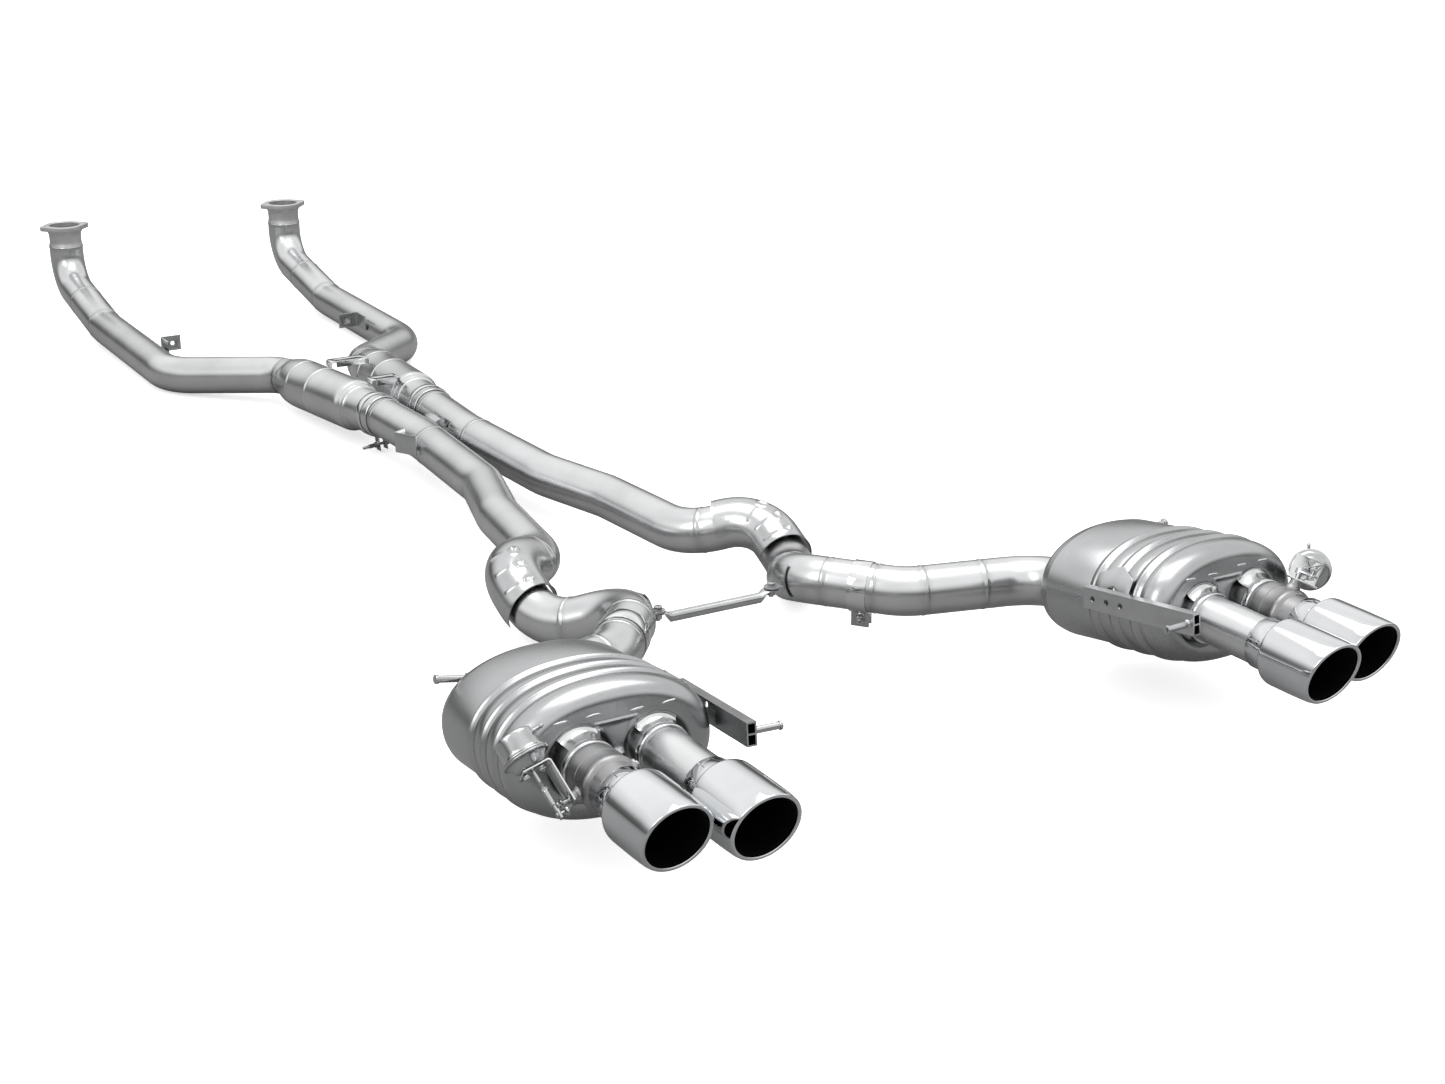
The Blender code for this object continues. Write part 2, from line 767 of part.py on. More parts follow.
def front_pin():
    """Bent hanger pin on the upper outer corner of the muffler's front face."""
    axis, u, v = muffler_frame()
    face = MUFFLER_CENTRE - axis * (MUFFLER_LENGTH / 2 + GAP)
    foot = face + u * 0.084 + v * 0.052
    turn = Matrix((u, axis, v)).transposed()
    pin = block("front_hanger_pin", foot - axis * 0.0015, (0.026, 0.003, 0.026), turn)
    elbow = foot - axis * 0.014
    end = Vector((0.626, elbow.y, elbow.z + 0.010))
    join(pin, bar("tool", [foot - axis * 0.001, elbow, end], [0.010], 0.0050))
    way = (end - elbow).normalized()
    return join(pin, rod("tool", end - way * 0.005, end + way * 0.0005, 0.0064, 10))


def outlets(made):
    """Plain inner outlet pipe and both tips."""
    start = MUFFLER_CENTRE.y - 0.055
    y0 = INNER_TIP_Y + TIP_SLEEVE + 0.006
    length = start - y0
    collar = 0.080
    outer = [
        (0, OUTLET_R),
        (collar, OUTLET_R),
        (collar + 0.002, OUTLET_R + 0.0025),
        (collar + 0.010, OUTLET_R + 0.0025),
        (collar + 0.014, OUTLET_R),
        (length, OUTLET_R),
    ]
    inner = [(0, OUTLET_R - WALL), (length, OUTLET_R - WALL)]
    origin = Vector((INNER_X, start, INNER_Z))
    made(turned("outlet_pipe", origin, Vector((0, -1, 0)), outer, inner, 16), "satin")
    made(tip("tip_inner", INNER_X, INNER_Z, INNER_TIP_Y), "chrome")
    made(tip("tip_outer", OUTER_X, OUTER_Z, OUTER_TIP_Y), "chrome")


def valve_unit(side_name, side, made):
    """Valve body on the outer outlet, butterfly with lever, actuator, its bracket and its rod."""
    shaft, reach, lever = valve_axes(side_name, side)
    centre = Vector((OUTER_X, VALVE_Y, OUTER_Z))
    start = MUFFLER_CENTRE.y - 0.055
    length = start - (OUTER_TIP_Y + TIP_SLEEVE + 0.006)
    front_face = start - VALVE_Y - 0.030
    outer = [
        (0, OUTLET_R),
        (0.080, OUTLET_R),
        (0.082, OUTLET_R + 0.0025),
        (0.090, OUTLET_R + 0.0025),
        (0.094, OUTLET_R),
        (front_face, OUTLET_R),
        (front_face + 0.003, OUTLET_R + 0.0030),
        (front_face + 0.050, OUTLET_R + 0.0030),
        (front_face + 0.053, OUTLET_R),
        (length, OUTLET_R),
    ]
    bore = OUTLET_R - WALL
    inner = [(0, bore), (length, bore)]
    housing = turned("valve_body", Vector((OUTER_X, start, OUTER_Z)), Vector((0, -1, 0)), outer, inner, 18)
    for way, tall in ((1, MOUNT_PLANE - OUTLET_R - 0.0014), (-1, 0.0085)):
        root = centre + shaft * (way * (bore + 0.001))
        join(housing, rod("tool", root, centre + shaft * (way * (OUTLET_R + tall)), 0.0085, 12))
    carve(housing, rod("tool", centre - shaft * 0.06, centre + shaft * 0.06, SHAFT_R + GAP, 12))
    made(housing, "satin")

    swing = Matrix.Rotation(-side * VALVE_TRAVEL / 2, 3, shaft)
    rest = swing @ lever
    if rest.dot(reach) < 0:
        rest = swing.inverted() @ lever
    flat = rest.cross(shaft).normalized()
    butterfly = turned(
        "valve_flap",
        centre - shaft * (OUTLET_R + 0.012),
        shaft,
        [(0, SHAFT_R), (OUTLET_R + 0.012 + LEVER_PLANE + 0.004, SHAFT_R)],
        None,
        12,
    )
    rearward = Vector((0, -1, 0))
    disc_normal = rearward.cross(shaft).normalized()
    thin = disc_normal * 0.0013
    join(butterfly, rod("tool", centre - thin, centre + thin, bore - 0.0012, 20))
    hub = centre + shaft * (LEVER_PLANE - 0.0045)
    join(butterfly, rod("tool", hub, hub + shaft * 0.008, 0.0075, 14))
    plane = centre + shaft * LEVER_PLANE
    arm = [
        plane + flat * 0.0072,
        plane - flat * 0.0072,
        plane - flat * 0.0066 + rest * 0.0290,
        plane + flat * 0.0066 + rest * 0.0290,
    ]
    join(butterfly, plate("tool", arm, shaft, LEVER_THICK))
    slot = plane + rest * 0.0183
    turn = Matrix((flat, shaft, rest)).transposed()
    carve(butterfly, block("tool", slot, (0.0064, 0.01, 0.0125), turn))
    made(butterfly, "zinc", centre)

    foot = centre + lever * LEVER_ARM + shaft * (LEVER_PLANE + ROD_OFFSET)
    pin = foot + reach * (LEVER_ARM * math.tan(VALVE_TRAVEL / 2))
    crimp = pin - reach * CRIMP_DISTANCE
    unit = turned(
        "actuator",
        crimp + reach * ACTUATOR_NOSE,
        -reach,
        [
            (0, 0.0170),
            (0.003, 0.0200),
            (0.0125, 0.0260),
            (0.0135, 0.0310),
            (0.0185, 0.0310),
            (0.0205, 0.0270),
            (0.043, 0.0262),
            (0.048, 0.0225),
        ],
        None,
        18,
    )
    studs = []
    for way in (-1, 1):
        offset = (shaft * math.cos(math.radians(20)) - lever * math.sin(math.radians(20))) * (way * 0.0110)
        root = crimp + offset + reach * (ACTUATOR_NOSE - 0.004)
        studs.append(root)
        join(unit, rod("tool", root, root + reach * 0.0150, 0.0025, 8))
        join(unit, hexagon("tool", root + reach * 0.0082, reach, 0.0042, 0.0075))
    nipple = (shaft * 0.91 - lever * 0.41) * side
    root = crimp - reach * 0.022 + nipple * 0.0245
    join(unit, rod("tool", root, root + nipple * 0.015, 0.0024, 8))
    carve(unit, rod("tool", crimp + reach * 0.02, crimp - reach * 0.010, 0.0036, 10))
    carve(unit, rod("tool", crimp + reach * 0.002, crimp - reach * 0.0285, 0.0225, 16))
    made(unit, "zinc")

    link = rod("actuator_rod", pin - reach * 0.003, crimp + reach * 0.003, 0.0025, 10)
    join(link, rod("tool", pin - reach * 0.034, pin - reach * 0.012, 0.0042, 6))
    turn = Matrix((reach.cross(shaft), shaft, reach)).transposed()
    join(link, block("tool", pin, (0.010, 0.0040, 0.013), turn))
    join(link, rod("tool", pin + shaft * 0.001, pin - shaft * (ROD_OFFSET + 0.0035), 0.0021, 8))
    made(link, "zinc", pin)

    stand = crimp + reach * (ACTUATOR_NOSE + 0.0018) - lever * 0.0065
    fold = stand - shaft * (LEVER_PLANE + ROD_OFFSET - MOUNT_PLANE)
    height = (crimp - centre).dot(reach) + ACTUATOR_NOSE + 0.0018
    mount = strip(
        "actuator_bracket",
        [stand + shaft * 0.0150, fold, fold + reach * (0.0090 - height)],
        0.0022,
        lever * 0.042,
    )
    for root in (*studs, crimp + reach * 0.010):
        carve(mount, rod("tool", root, root + reach * 0.02, 0.0034 if root in studs else 0.0045, 10))
    carve(mount, rod("tool", centre, centre + shaft * 0.055, SHAFT_R + 0.0008, 12))
    made(mount, "zinc")


def build_side(side_name, side):
    line = Line(rounded_path(CORNERS, BEND_RADII, BEND_STEP))

    def made(body, kind, pivot=None):
        set_side(body, side, side_name)
        if pivot is not None:
            set_origin(body, Vector((side * pivot.x, pivot.y, pivot.z)))
        finish(body, kind)

    front_run(line, made)
    middle_run(line, made)
    if side < 0:
        made(mid_bracket(line), "zinc")
    muffler(line, made)
    outlets(made)
    valve_unit(side_name, side, made)


def tie_rod():
    """Round tube flattened into a raised bolt eye at each end."""
    reach, y, z = TIE_EYE
    flat = 0.0020
    ends = (
        (reach + 0.012, 0.008, flat, 0),
        (reach + 0.004, 0.0105, flat, 0),
        (reach - 0.010, 0.0105, flat, 0),
    )
    shoulder = ((reach - 0.022, 0.0090, TIE_TUBE_R, -TIE_TUBE_DROP),)
    one = ends + shoulder
    stations = [(-x, wide, tall, lift) for x, wide, tall, lift in one]
    stations += [(x, wide, tall, lift) for x, wide, tall, lift in reversed(one)]
    along, up = Vector((0, 1, 0)), Vector((0, 0, 1))
    loops = [oval(Vector((x, y, z + lift)), along, up, wide, tall, 2.2, 12) for x, wide, tall, lift in stations]
    body = loft("tie_rod", loops)
    for way in (-1, 1):
        eye = Vector((way * reach, y, z))
        carve(body, rod("tool", eye - up * 0.01, eye + up * 0.01, 0.0043, 10))
    finish(body, "zinc")


def tie_bolt(side_name, side):
    eye = Vector((side * TIE_EYE.x, TIE_EYE.y, TIE_EYE.z))
    up = Vector((0, 0, 1))
    bolt = rod(f"tie_rod_bolt_{side_name}", eye - up * 0.012, eye + up * 0.009, 0.0040, 10)
    join(bolt, hexagon("tool", eye + up * 0.0064, up, 0.0055, 0.013))
    join(bolt, hexagon("tool", eye - up * 0.0085, up, 0.0060, 0.013))
    finish(bolt, "zinc")


def resonator_tie(name, y, z, half, line):
    """Bridge between the two resonators: top plate with two holes, a leg to each, and a lip behind."""
    deep, thick = 0.032, 0.0022
    feet = []
    for edge in (y, y + deep):
        point, _ = line.place(line.near(edge))
        aside = point.x - half - thick / 2
        feet.append(point.z + math.sqrt((RESONATOR_R + 0.0006) ** 2 - aside**2))
    middle = y + deep / 2
    profile = [(-half, middle, max(feet)), (-half, middle, z), (half, middle, z), (half, middle, max(feet))]
    body = strip(name, profile, thick, Vector((0, deep, 0)))
    join(body, block("tool", (0, y - 0.0002, z - 0.0045), (2 * half - 0.020, thick, 0.0135)))
    for way in (-1, 1):
        hole = Vector((way * half * 0.55, middle, z))
        carve(body, rod("tool", hole - Vector((0, 0, 0.01)), hole + Vector((0, 0, 0.01)), 0.0035))
    finish(body, "bright")


def stand():
    """Moves the whole system so that its lowest point is at z = 0."""
    bpy.context.view_layer.update()
    bodies = list(bpy.context.scene.objects)
    lowest = min((body.matrix_world @ v.co).z for body in bodies for v in body.data.vertices)
    for body in bodies:
        body.location.z -= lowest


for old in list(bpy.data.objects):
    bpy.data.objects.remove(old)
for run_name, run_side in (("left", -1), ("right", 1)):
    build_side(run_name, run_side)
    tie_bolt(run_name, run_side)
tie_rod()
middle_line = Line(rounded_path(CORNERS, BEND_RADII, BEND_STEP))
for tie_name, tie_y, tie_z, tie_half in RESONATOR_TIES:
    resonator_tie(tie_name, tie_y, tie_z, tie_half, middle_line)
stand()
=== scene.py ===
from math import atan2, copysign, cos, exp, hypot, pi, radians, sin, sqrt, tan

import bmesh
import bpy
from mathutils import Matrix, Vector


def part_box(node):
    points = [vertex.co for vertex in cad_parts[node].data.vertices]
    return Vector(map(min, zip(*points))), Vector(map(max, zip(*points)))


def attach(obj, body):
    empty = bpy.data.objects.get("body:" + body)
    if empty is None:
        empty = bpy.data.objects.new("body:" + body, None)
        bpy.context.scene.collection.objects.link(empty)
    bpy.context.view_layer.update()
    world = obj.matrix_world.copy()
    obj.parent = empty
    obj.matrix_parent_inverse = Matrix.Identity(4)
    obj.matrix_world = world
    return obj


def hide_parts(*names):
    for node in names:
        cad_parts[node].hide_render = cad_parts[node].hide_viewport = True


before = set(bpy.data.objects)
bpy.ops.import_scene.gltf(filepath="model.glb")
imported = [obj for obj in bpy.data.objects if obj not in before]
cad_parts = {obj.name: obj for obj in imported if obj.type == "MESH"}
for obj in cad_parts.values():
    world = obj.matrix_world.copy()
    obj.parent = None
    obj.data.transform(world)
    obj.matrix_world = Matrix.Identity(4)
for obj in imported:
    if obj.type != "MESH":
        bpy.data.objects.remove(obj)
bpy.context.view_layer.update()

# All lengths are in metres. +Y is forwards, and the right-hand run is on +X
X, Y, Z = Vector((1, 0, 0)), Vector((0, 1, 0)), Vector((0, 0, 1))
REARWARD, DOWN = Vector((0, -1, 0)), Vector((0, 0, -1))
# Faces that meet at more than this many degrees keep a sharp edge
SHARP = 34

# Tube stock, and what slides over it
PIPE_R = 0.040
OUTLET_R = 0.035
WALL = 0.002
SLIP_FIT = 0.0006
SEAM_GAP = 0.0003
BEAD_RISE = 0.0007

# Corners of the right-hand pipe's centre line, from the flange to the muffler
CORNERS = (
    (0.282, 1.764, 0.257),
    (0.282, 1.764, 0.117),
    (0.281, 1.466, 0.061),
    (0.281, 0.985, 0.055),
    (0.093, 0.781, 0.078),
    (0.054, 0.296, 0.0965),
    (0.046, 0.120, 0.094),
    (0.064, -0.185, 0.089),
    (0.109, -0.346, 0.085),
    (0.138, -0.587, 0.077),
    (0.242, -0.651, 0.111),
    (0.239, -0.789, 0.046),
    (0.133, -0.911, 0.107),
    (0.262, -1.062, 0.102),
    (0.476, -1.133, 0.108),
    (0.487, -1.300, 0.132),
)
BEND_RADII = (0.088, 0.208, 0.151, 0.100, 0.150, 0.150, 0.150)
BEND_RADII += (0.150, 0.120, 0.087, 0.120, 0.095, 0.100, 0.090)
BEND_STEP = radians(5)

FLANGE_TOP = 0.257
FLANGE_THICK = 0.011
FLANGE_BORE_R = 0.0360
FLANGE_HOLE_X = 0.0495
FLANGE_HOLE_R = 0.0045
FLANGE_EAR_R = 0.0095
FLANGE_WAIST_R = 0.047
NECK_LENGTH = 0.040
NECK_SINK = 0.002
PORT_R = 0.0034

RESONATOR_FRONT_Y = 0.735
RESONATOR_R = 0.0527
RESONATOR_LENGTH = 0.436
RESONATOR_SWAGES = (0.0835, 0.1720)
RESONATOR_REAR_CONE = (0.308, 0.333)
RESONATOR_NECK_R = 0.0433
RESONATOR_BORE_R = 0.0507

# Places along the pipe, by their y
FRONT_WELDS_Y = (1.623, 1.480)
FRONT_BRACKET_Y = 1.150
LINK_TAB_Y = 0.160
MID_WELD_Y = 0.075
MID_BRACKET_Y = 0.074
HUMP_Y = -0.598
SHIELD_END_Y = -0.748
BEND_WELD_Y = -0.824
BAND_CLAMP_Y = -1.010
INLET_WELDS_Y = (-1.071, -1.102)

# Heat shield, with its dimples' places
SHIELD_GAP = 0.0062
SHIELD_SHEET = 0.0012
SHIELD_SPREAD = radians(100)
SHIELD_UP = Vector((0.35, -0.15, 1))
DIMPLES = ((0.235, -0.675, 0.140), (0.241, -0.710, 0.130), (0.242, -0.743, 0.115))
DIMPLE_R = 0.0072
DIMPLE_DEPTH = 0.0016
DIMPLE_LIP = 0.0014
DIMPLE_LIP_R = 0.0082
SLOT_REACH = 0.031
SLOT_HALF = 0.013
SLOT_RISE = 0.0013

MUFFLER_CENTRE = Vector((0.498, -1.408, 0.174))
MUFFLER_YAW = radians(3.8)
MUFFLER_PITCH = radians(7.8)
MUFFLER_ROLL = radians(-2.0)
MUFFLER_A = 0.142
MUFFLER_B = 0.089
MUFFLER_POWER = 2.18
MUFFLER_LENGTH = 0.256
MUFFLER_RIBS = (-0.010, 0.032, 0.074)
RIB_RISE = 0.0034
RIB_GROOVE = 0.0010
FRONT_CAP_DEPTH = 0.018
REAR_CAP_DEPTH = 0.036
SHELL_FRONT = -MUFFLER_LENGTH / 2 + FRONT_CAP_DEPTH
SHELL_REAR = MUFFLER_LENGTH / 2 - REAR_CAP_DEPTH
CAP_SHOULDER = 0.026
SEAT_R = 0.0430
SEAT_DEPTH = 0.0165
PANEL_LIFT = 0.024
PANEL_HALF_WIDTH = 0.0150
PANEL_HALF_HEIGHT = 0.018
PANEL_FLARE = 0.42
PANEL_DEPTH = 0.0040
PANEL_LIP = 0.0016

HANGER_FRONT = Vector((0.3444, -1.408, 0.1925))
HANGER_END = Vector((0.3625, -1.622, 0.216))
RAIL_DEEP = 0.014
RAIL_TALL = 0.032
BOX_LENGTH = 0.090
HANGER_PIN_R = 0.0048
FRONT_PIN_R = 0.0050
FRONT_PIN_END_X = 0.626

OUTER_X = 0.553
INNER_X = 0.450
OUTER_Z = 0.187
INNER_Z = 0.186
OUTER_TIP_Y = -1.773
INNER_TIP_Y = -1.800
OUTLET_AXES = ((OUTER_X, OUTER_Z), (INNER_X, INNER_Z))
OUTLET_START = MUFFLER_CENTRE.y - 0.055
TIP_R = 0.050
TIP_RIM_R = 0.048
TIP_OPENING_R = 0.042
TIP_SLEEVE = 0.098
TIP_COLLAR = 0.036
TIP_SLASH = 0.31

VALVE_Y = -1.593
VALVE_CLOCK = {"left": radians(196), "right": radians(62)}
VALVE_TRAVEL = radians(76)
SHAFT_R = 0.0040
LEVER_ARM = 0.016
LEVER_PLANE = 0.0650
LEVER_THICK = 0.003
ROD_LEAN = radians(45)
ROD_OFFSET = 0.0095
CRIMP_DISTANCE = 0.081
ACTUATOR_NOSE = 0.016
MOUNT_PLANE = 0.0525
MOUNT_THICK = 0.0020
CAN_BORE_R = 0.0225
# The can's profile, as distances from its nose and radii
CAN_NOSE = ((0, 0.0130), (0, 0.0170), (0.0032, 0.0202), (0.0120, 0.0258), (0.0128, 0.0300), (0.0134, 0.0310))
CAN_CRIMP = ((0.0152, 0.0312), (0.0158, 0.0302), (0.0165, 0.0312), (0.0183, 0.0310), (0.0190, 0.0298))
CAN_BACK = (
    (0.0205, 0.0268), (0.0300, 0.0264), (0.0425, 0.0260), (0.0460, 0.0245),
    (0.0478, 0.0200), (0.0482, 0.0120), (0.0482, 0.0010),
)
ROD_R = 0.0025
STUD_R = 0.0025
STUD_OFFSET = 0.0110
STUD_CLOCK = radians(20)

TIE_EYE = Vector((0.104, -0.917, 0.0900))
TIE_TUBE_DROP = 0.0100
TIE_TUBE_R = 0.0085
TIE_HOLE_R = 0.0043
# Name, y of the front edge, height of the plate, half of its width
RESONATOR_TIES = (
    ("resonator_tie_front", 0.612, 0.136, 0.042),
    ("resonator_tie_rear", 0.416, 0.141, 0.031),
)

# The frame stands on its lowest point, so everything is lowered with the flange
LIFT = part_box("inlet_flange_right")[1].z - FLANGE_TOP


# ---------------------------------------------------------------- materials


def node(tree, kind, **settings):
    made = tree.nodes.new(kind)
    for key, value in settings.items():
        setattr(made, key, value)
    return made


def noise(tree, source, scale, detail=4.0, stretch=(1, 1, 1)):
    mapping = node(tree, "ShaderNodeMapping")
    mapping.inputs["Scale"].default_value = stretch
    tree.links.new(source, mapping.inputs["Vector"])
    made = node(tree, "ShaderNodeTexNoise")
    made.inputs["Scale"].default_value = scale
    made.inputs["Detail"].default_value = detail
    tree.links.new(mapping.outputs["Vector"], made.inputs["Vector"])
    return made.outputs["Fac"]


def span(tree, value, low, high, out_low, out_high):
    made = node(tree, "ShaderNodeMapRange")
    for key, number in (("From Min", low), ("From Max", high), ("To Min", out_low), ("To Max", out_high)):
        made.inputs[key].default_value = number
    tree.links.new(value, made.inputs["Value"])
    return made.outputs["Result"]


def blend_colour(tree, amount, first, second):
    made = node(tree, "ShaderNodeMix", data_type="RGBA")
    tree.links.new(amount, made.inputs["Factor"])
    for socket, colour in ((made.inputs[6], first), (made.inputs[7], second)):
        if isinstance(colour, tuple):
            socket.default_value = (*colour, 1.0)
        else:
            tree.links.new(colour, socket)
    return made.outputs[2]


def metal(name, colour, rough, spread, grain, mottle, streak=0.0, specks=0.0, edge=0.25):
    """Bare metal: mottled tone and gloss, fine grain, drawn streaks, pits and edges rubbed brighter."""
    material = bpy.data.materials.new(name)
    material.use_nodes = True
    tree = material.node_tree
    shader = tree.nodes["Principled BSDF"]
    shader.inputs["Metallic"].default_value = 1.0
    place = node(tree, "ShaderNodeTexCoord").outputs["Object"]

    clouds = noise(tree, place, mottle, 5.0)
    fine = noise(tree, place, grain[0], 3.0)
    dark = tuple(c * 0.86 for c in colour)
    tone = blend_colour(tree, span(tree, clouds, 0.3, 0.7, 0.0, 1.0), dark, colour)

    seam = node(tree, "ShaderNodeAttribute", attribute_name="seam").outputs["Fac"]
    tone = blend_colour(tree, seam, tone, tuple(c * 0.72 for c in colour))

    if specks:
        cells = node(tree, "ShaderNodeTexVoronoi")
        cells.inputs["Scale"].default_value = 130.0
        tree.links.new(place, cells.inputs["Vector"])
        pits = span(tree, cells.outputs["Distance"], 0.03, 0.10, specks, 0.0)
        tone = blend_colour(tree, pits, tone, tuple(c * 0.25 for c in colour))

    corners = node(tree, "ShaderNodeNewGeometry").outputs["Pointiness"]
    worn = span(tree, corners, 0.52, 0.62, 0.0, edge)
    tone = blend_colour(tree, worn, tone, tuple(min(1.0, c * 1.25) for c in colour))
    tree.links.new(tone, shader.inputs["Base Color"])

    gloss = span(tree, clouds, 0.25, 0.75, rough - spread, rough + spread)
    tree.links.new(gloss, shader.inputs["Roughness"])

    height = fine
    if streak:
        drawn = noise(tree, place, 60.0, 4.0, (1.0, 0.03, 1.0))
        mixer = node(tree, "ShaderNodeMix")
        mixer.inputs["Factor"].default_value = streak
        tree.links.new(fine, mixer.inputs[2])
        tree.links.new(drawn, mixer.inputs[3])
        height = mixer.outputs[0]
    bump = node(tree, "ShaderNodeBump")
    bump.inputs["Strength"].default_value = grain[1]
    bump.inputs["Distance"].default_value = 0.0004
    tree.links.new(height, bump.inputs["Height"])
    tree.links.new(bump.outputs["Normal"], shader.inputs["Normal"])
    return material


# Name, colour, roughness and its spread, grain's scale and strength, mottling's scale, then
# the shares of drawn streaks, of pits and of rubbed edges
LOOKS = {
    "satin": metal("satin_titanium", (0.70, 0.705, 0.71), 0.25, 0.03, (700.0, 0.02), 11.0, 0.4),
    "forged": metal("forged_flange", (0.66, 0.66, 0.665), 0.48, 0.05, (420.0, 0.08), 30.0),
    "cast": metal("cast_steel", (0.38, 0.38, 0.385), 0.36, 0.06, (420.0, 0.20), 30.0),
    "blasted": metal("blasted_titanium", (0.48, 0.485, 0.49), 0.27, 0.04, (1100.0, 0.05), 9.0, 0.0, 0.5),
    "pressed": metal("pressed_sheet", (0.58, 0.585, 0.59), 0.24, 0.03, (300.0, 0.015), 25.0, 0.3),
    "chrome": metal("polished_tip", (0.74, 0.75, 0.76), 0.060, 0.02, (60.0, 0.006), 8.0, 0.0, 0.0, 0.1),
    "mirror": metal("polished_band", (0.80, 0.805, 0.81), 0.080, 0.02, (120.0, 0.008), 20.0),
    "zinc": metal("zinc_plate", (0.54, 0.545, 0.55), 0.16, 0.03, (500.0, 0.02), 60.0),
    "bright": metal("bright_steel", (0.76, 0.765, 0.77), 0.13, 0.03, (240.0, 0.025), 40.0),
    "rail": metal("rail_steel", (0.55, 0.555, 0.56), 0.24, 0.04, (600.0, 0.03), 35.0),
    # The near-black look below is painted shade, laid as a lining inside the tips' throats
    "throat_shade": metal("painted_throat_shade", (0.030, 0.030, 0.031), 0.60, 0.05, (500.0, 0.20), 30.0),
}


# ---------------------------------------------------------------- mesh helpers


def body_from(name, mesh_maker):
    """Object from a function that fills a bmesh; faces are turned outwards."""
    shape = bmesh.new()
    mesh_maker(shape)
    bmesh.ops.recalc_face_normals(shape, faces=shape.faces)
    mesh = bpy.data.meshes.new(name)
    shape.to_mesh(mesh)
    shape.free()
    body = bpy.data.objects.new(name, mesh)
    bpy.context.scene.collection.objects.link(body)
    return body


def loft(name, loops, ring=False, open_loop=False, caps=True, seams=None):
    """Skin through equal loops of points. seams gives each loop's share of weld darkening."""

    def fill(shape):
        layer = shape.verts.layers.float.new("seam") if seams else None
        rows = [[shape.verts.new(point) for point in loop] for loop in loops]
        if seams:
            for row, share in zip(rows, seams):
                for vert in row:
                    vert[layer] = share
        pairs = list(zip(rows, rows[1:]))
        if ring:
            pairs.append((rows[-1], rows[0]))
        for first, second in pairs:
            count = len(first)
            for i in range(count - 1 if open_loop else count):
                j = (i + 1) % count
                shape.faces.new((first[i], first[j], second[j], second[i]))
        if not ring and caps:
            shape.faces.new(rows[0])
            shape.faces.new(rows[-1])

    return body_from(name, fill)


def applied(body, kind, **settings):
    """Gives the body the mesh that a modifier makes of it."""
    modifier = body.modifiers.new("shape", kind)
    for key, value in settings.items():
        setattr(modifier, key, value)
    graph = bpy.context.evaluated_depsgraph_get()
    shaped = bpy.data.meshes.new_from_object(body.evaluated_get(graph))
    body.modifiers.clear()
    body.data = shaped
    return body


def boolean(body, tools, operation):
    """Joins the tools to the body, or cuts them away, in turn, and drops each."""
    for tool in tools:
        applied(body, "BOOLEAN", operation=operation, solver="EXACT", object=tool)
        bpy.data.objects.remove(tool)
    return body


def join(body, *tools):
    return boolean(body, tools, "UNION")


def carve(body, *tools):
    return boolean(body, tools, "DIFFERENCE")


def soften(body, width, segments=2, limit=32):
    """Rounds the edges sharper than the limit a little, so that they catch the light."""
    angle = radians(limit)
    return applied(body, "BEVEL", width=width, segments=segments, limit_method="ANGLE", angle_limit=angle)


def rounded(profile, rounds=2):
    """Profile with its inner corners cut to a curve."""
    for _ in range(rounds):
        cut = [profile[0]]
        for (s0, r0), (s1, r1) in zip(profile, profile[1:]):
            cut.append((s0 + (s1 - s0) * 0.25, r0 + (r1 - r0) * 0.25))
            cut.append((s0 + (s1 - s0) * 0.75, r0 + (r1 - r0) * 0.75))
        cut.append(profile[-1])
        profile = cut
    return profile


def across(axis, hint=Z):
    """Two unit vectors square to the axis; the second is as near the hint as it can be."""
    axis = axis.normalized()
    if abs(axis.dot(hint)) > 0.95:
        hint = Y
    second = (hint - axis * hint.dot(axis)).normalized()
    return second.cross(axis), second


def circle(centre, u, v, radius, sides):
    steps = (2 * pi * i / sides for i in range(sides))
    return [centre + u * (radius * cos(a)) + v * (radius * sin(a)) for a in steps]


def turned(name, origin, axis, outer, inner=None, sides=64):
    """Body of revolution. outer and inner are (distance along the axis, radius) pairs."""
    axis = axis.normalized()
    u, v = across(axis)
    profile = list(outer) + list(reversed(inner or ()))
    loops = [circle(origin + axis * s, u, v, r, sides) for s, r in profile]
    return loft(name, loops, ring=inner is not None)


def rod(name, start, end, radius, sides=32):
    start, end = Vector(start), Vector(end)
    return turned(name, start, end - start, [(0, radius), ((end - start).length, radius)], sides=sides)


def pin_rod(name, start, end, radius, chamfer=0.0006, sides=32):
    """Rod with chamfered ends."""
    start, end = Vector(start), Vector(end)
    length = (end - start).length
    end_r = radius - chamfer
    profile = [(0, end_r), (chamfer, radius), (length - chamfer, radius), (length, end_r)]
    return turned(name, start, end - start, profile, sides=sides)


def hexagon(name, start, axis, height, across_flats):
    return turned(name, start, axis, [(0, across_flats / 1.732), (height, across_flats / 1.732)], sides=6)


def washer(name, start, axis, height, radius, bore=None):
    inner = [(0, bore), (height, bore)] if bore else None
    return turned(name, start, axis, [(0, radius), (height, radius)], inner, 32)


def thread(name, start, end, radius, pitch=0.0011):
    """Screw thread as close rings."""
    start, end = Vector(start), Vector(end)
    length = (end - start).length
    count = max(2, int(length / pitch))
    profile = [(0, radius * 0.8)]
    for i in range(count):
        profile += [(length * (i + 0.25) / count, radius), (length * (i + 0.75) / count, radius * 0.88)]
    profile.append((length, radius * 0.8))
    return turned(name, start, end - start, profile, sides=20)


def block(name, centre, size, turn=Matrix.Identity(3)):
    centre = Vector(centre)
    half = [s / 2 for s in size]

    def corner(x, y, z):
        return centre + turn @ Vector((x * half[0], y * half[1], z * half[2]))

    loops = [[corner(-1, -1, k), corner(1, -1, k), corner(1, 1, k), corner(-1, 1, k)] for k in (-1, 1)]
    return loft(name, loops)


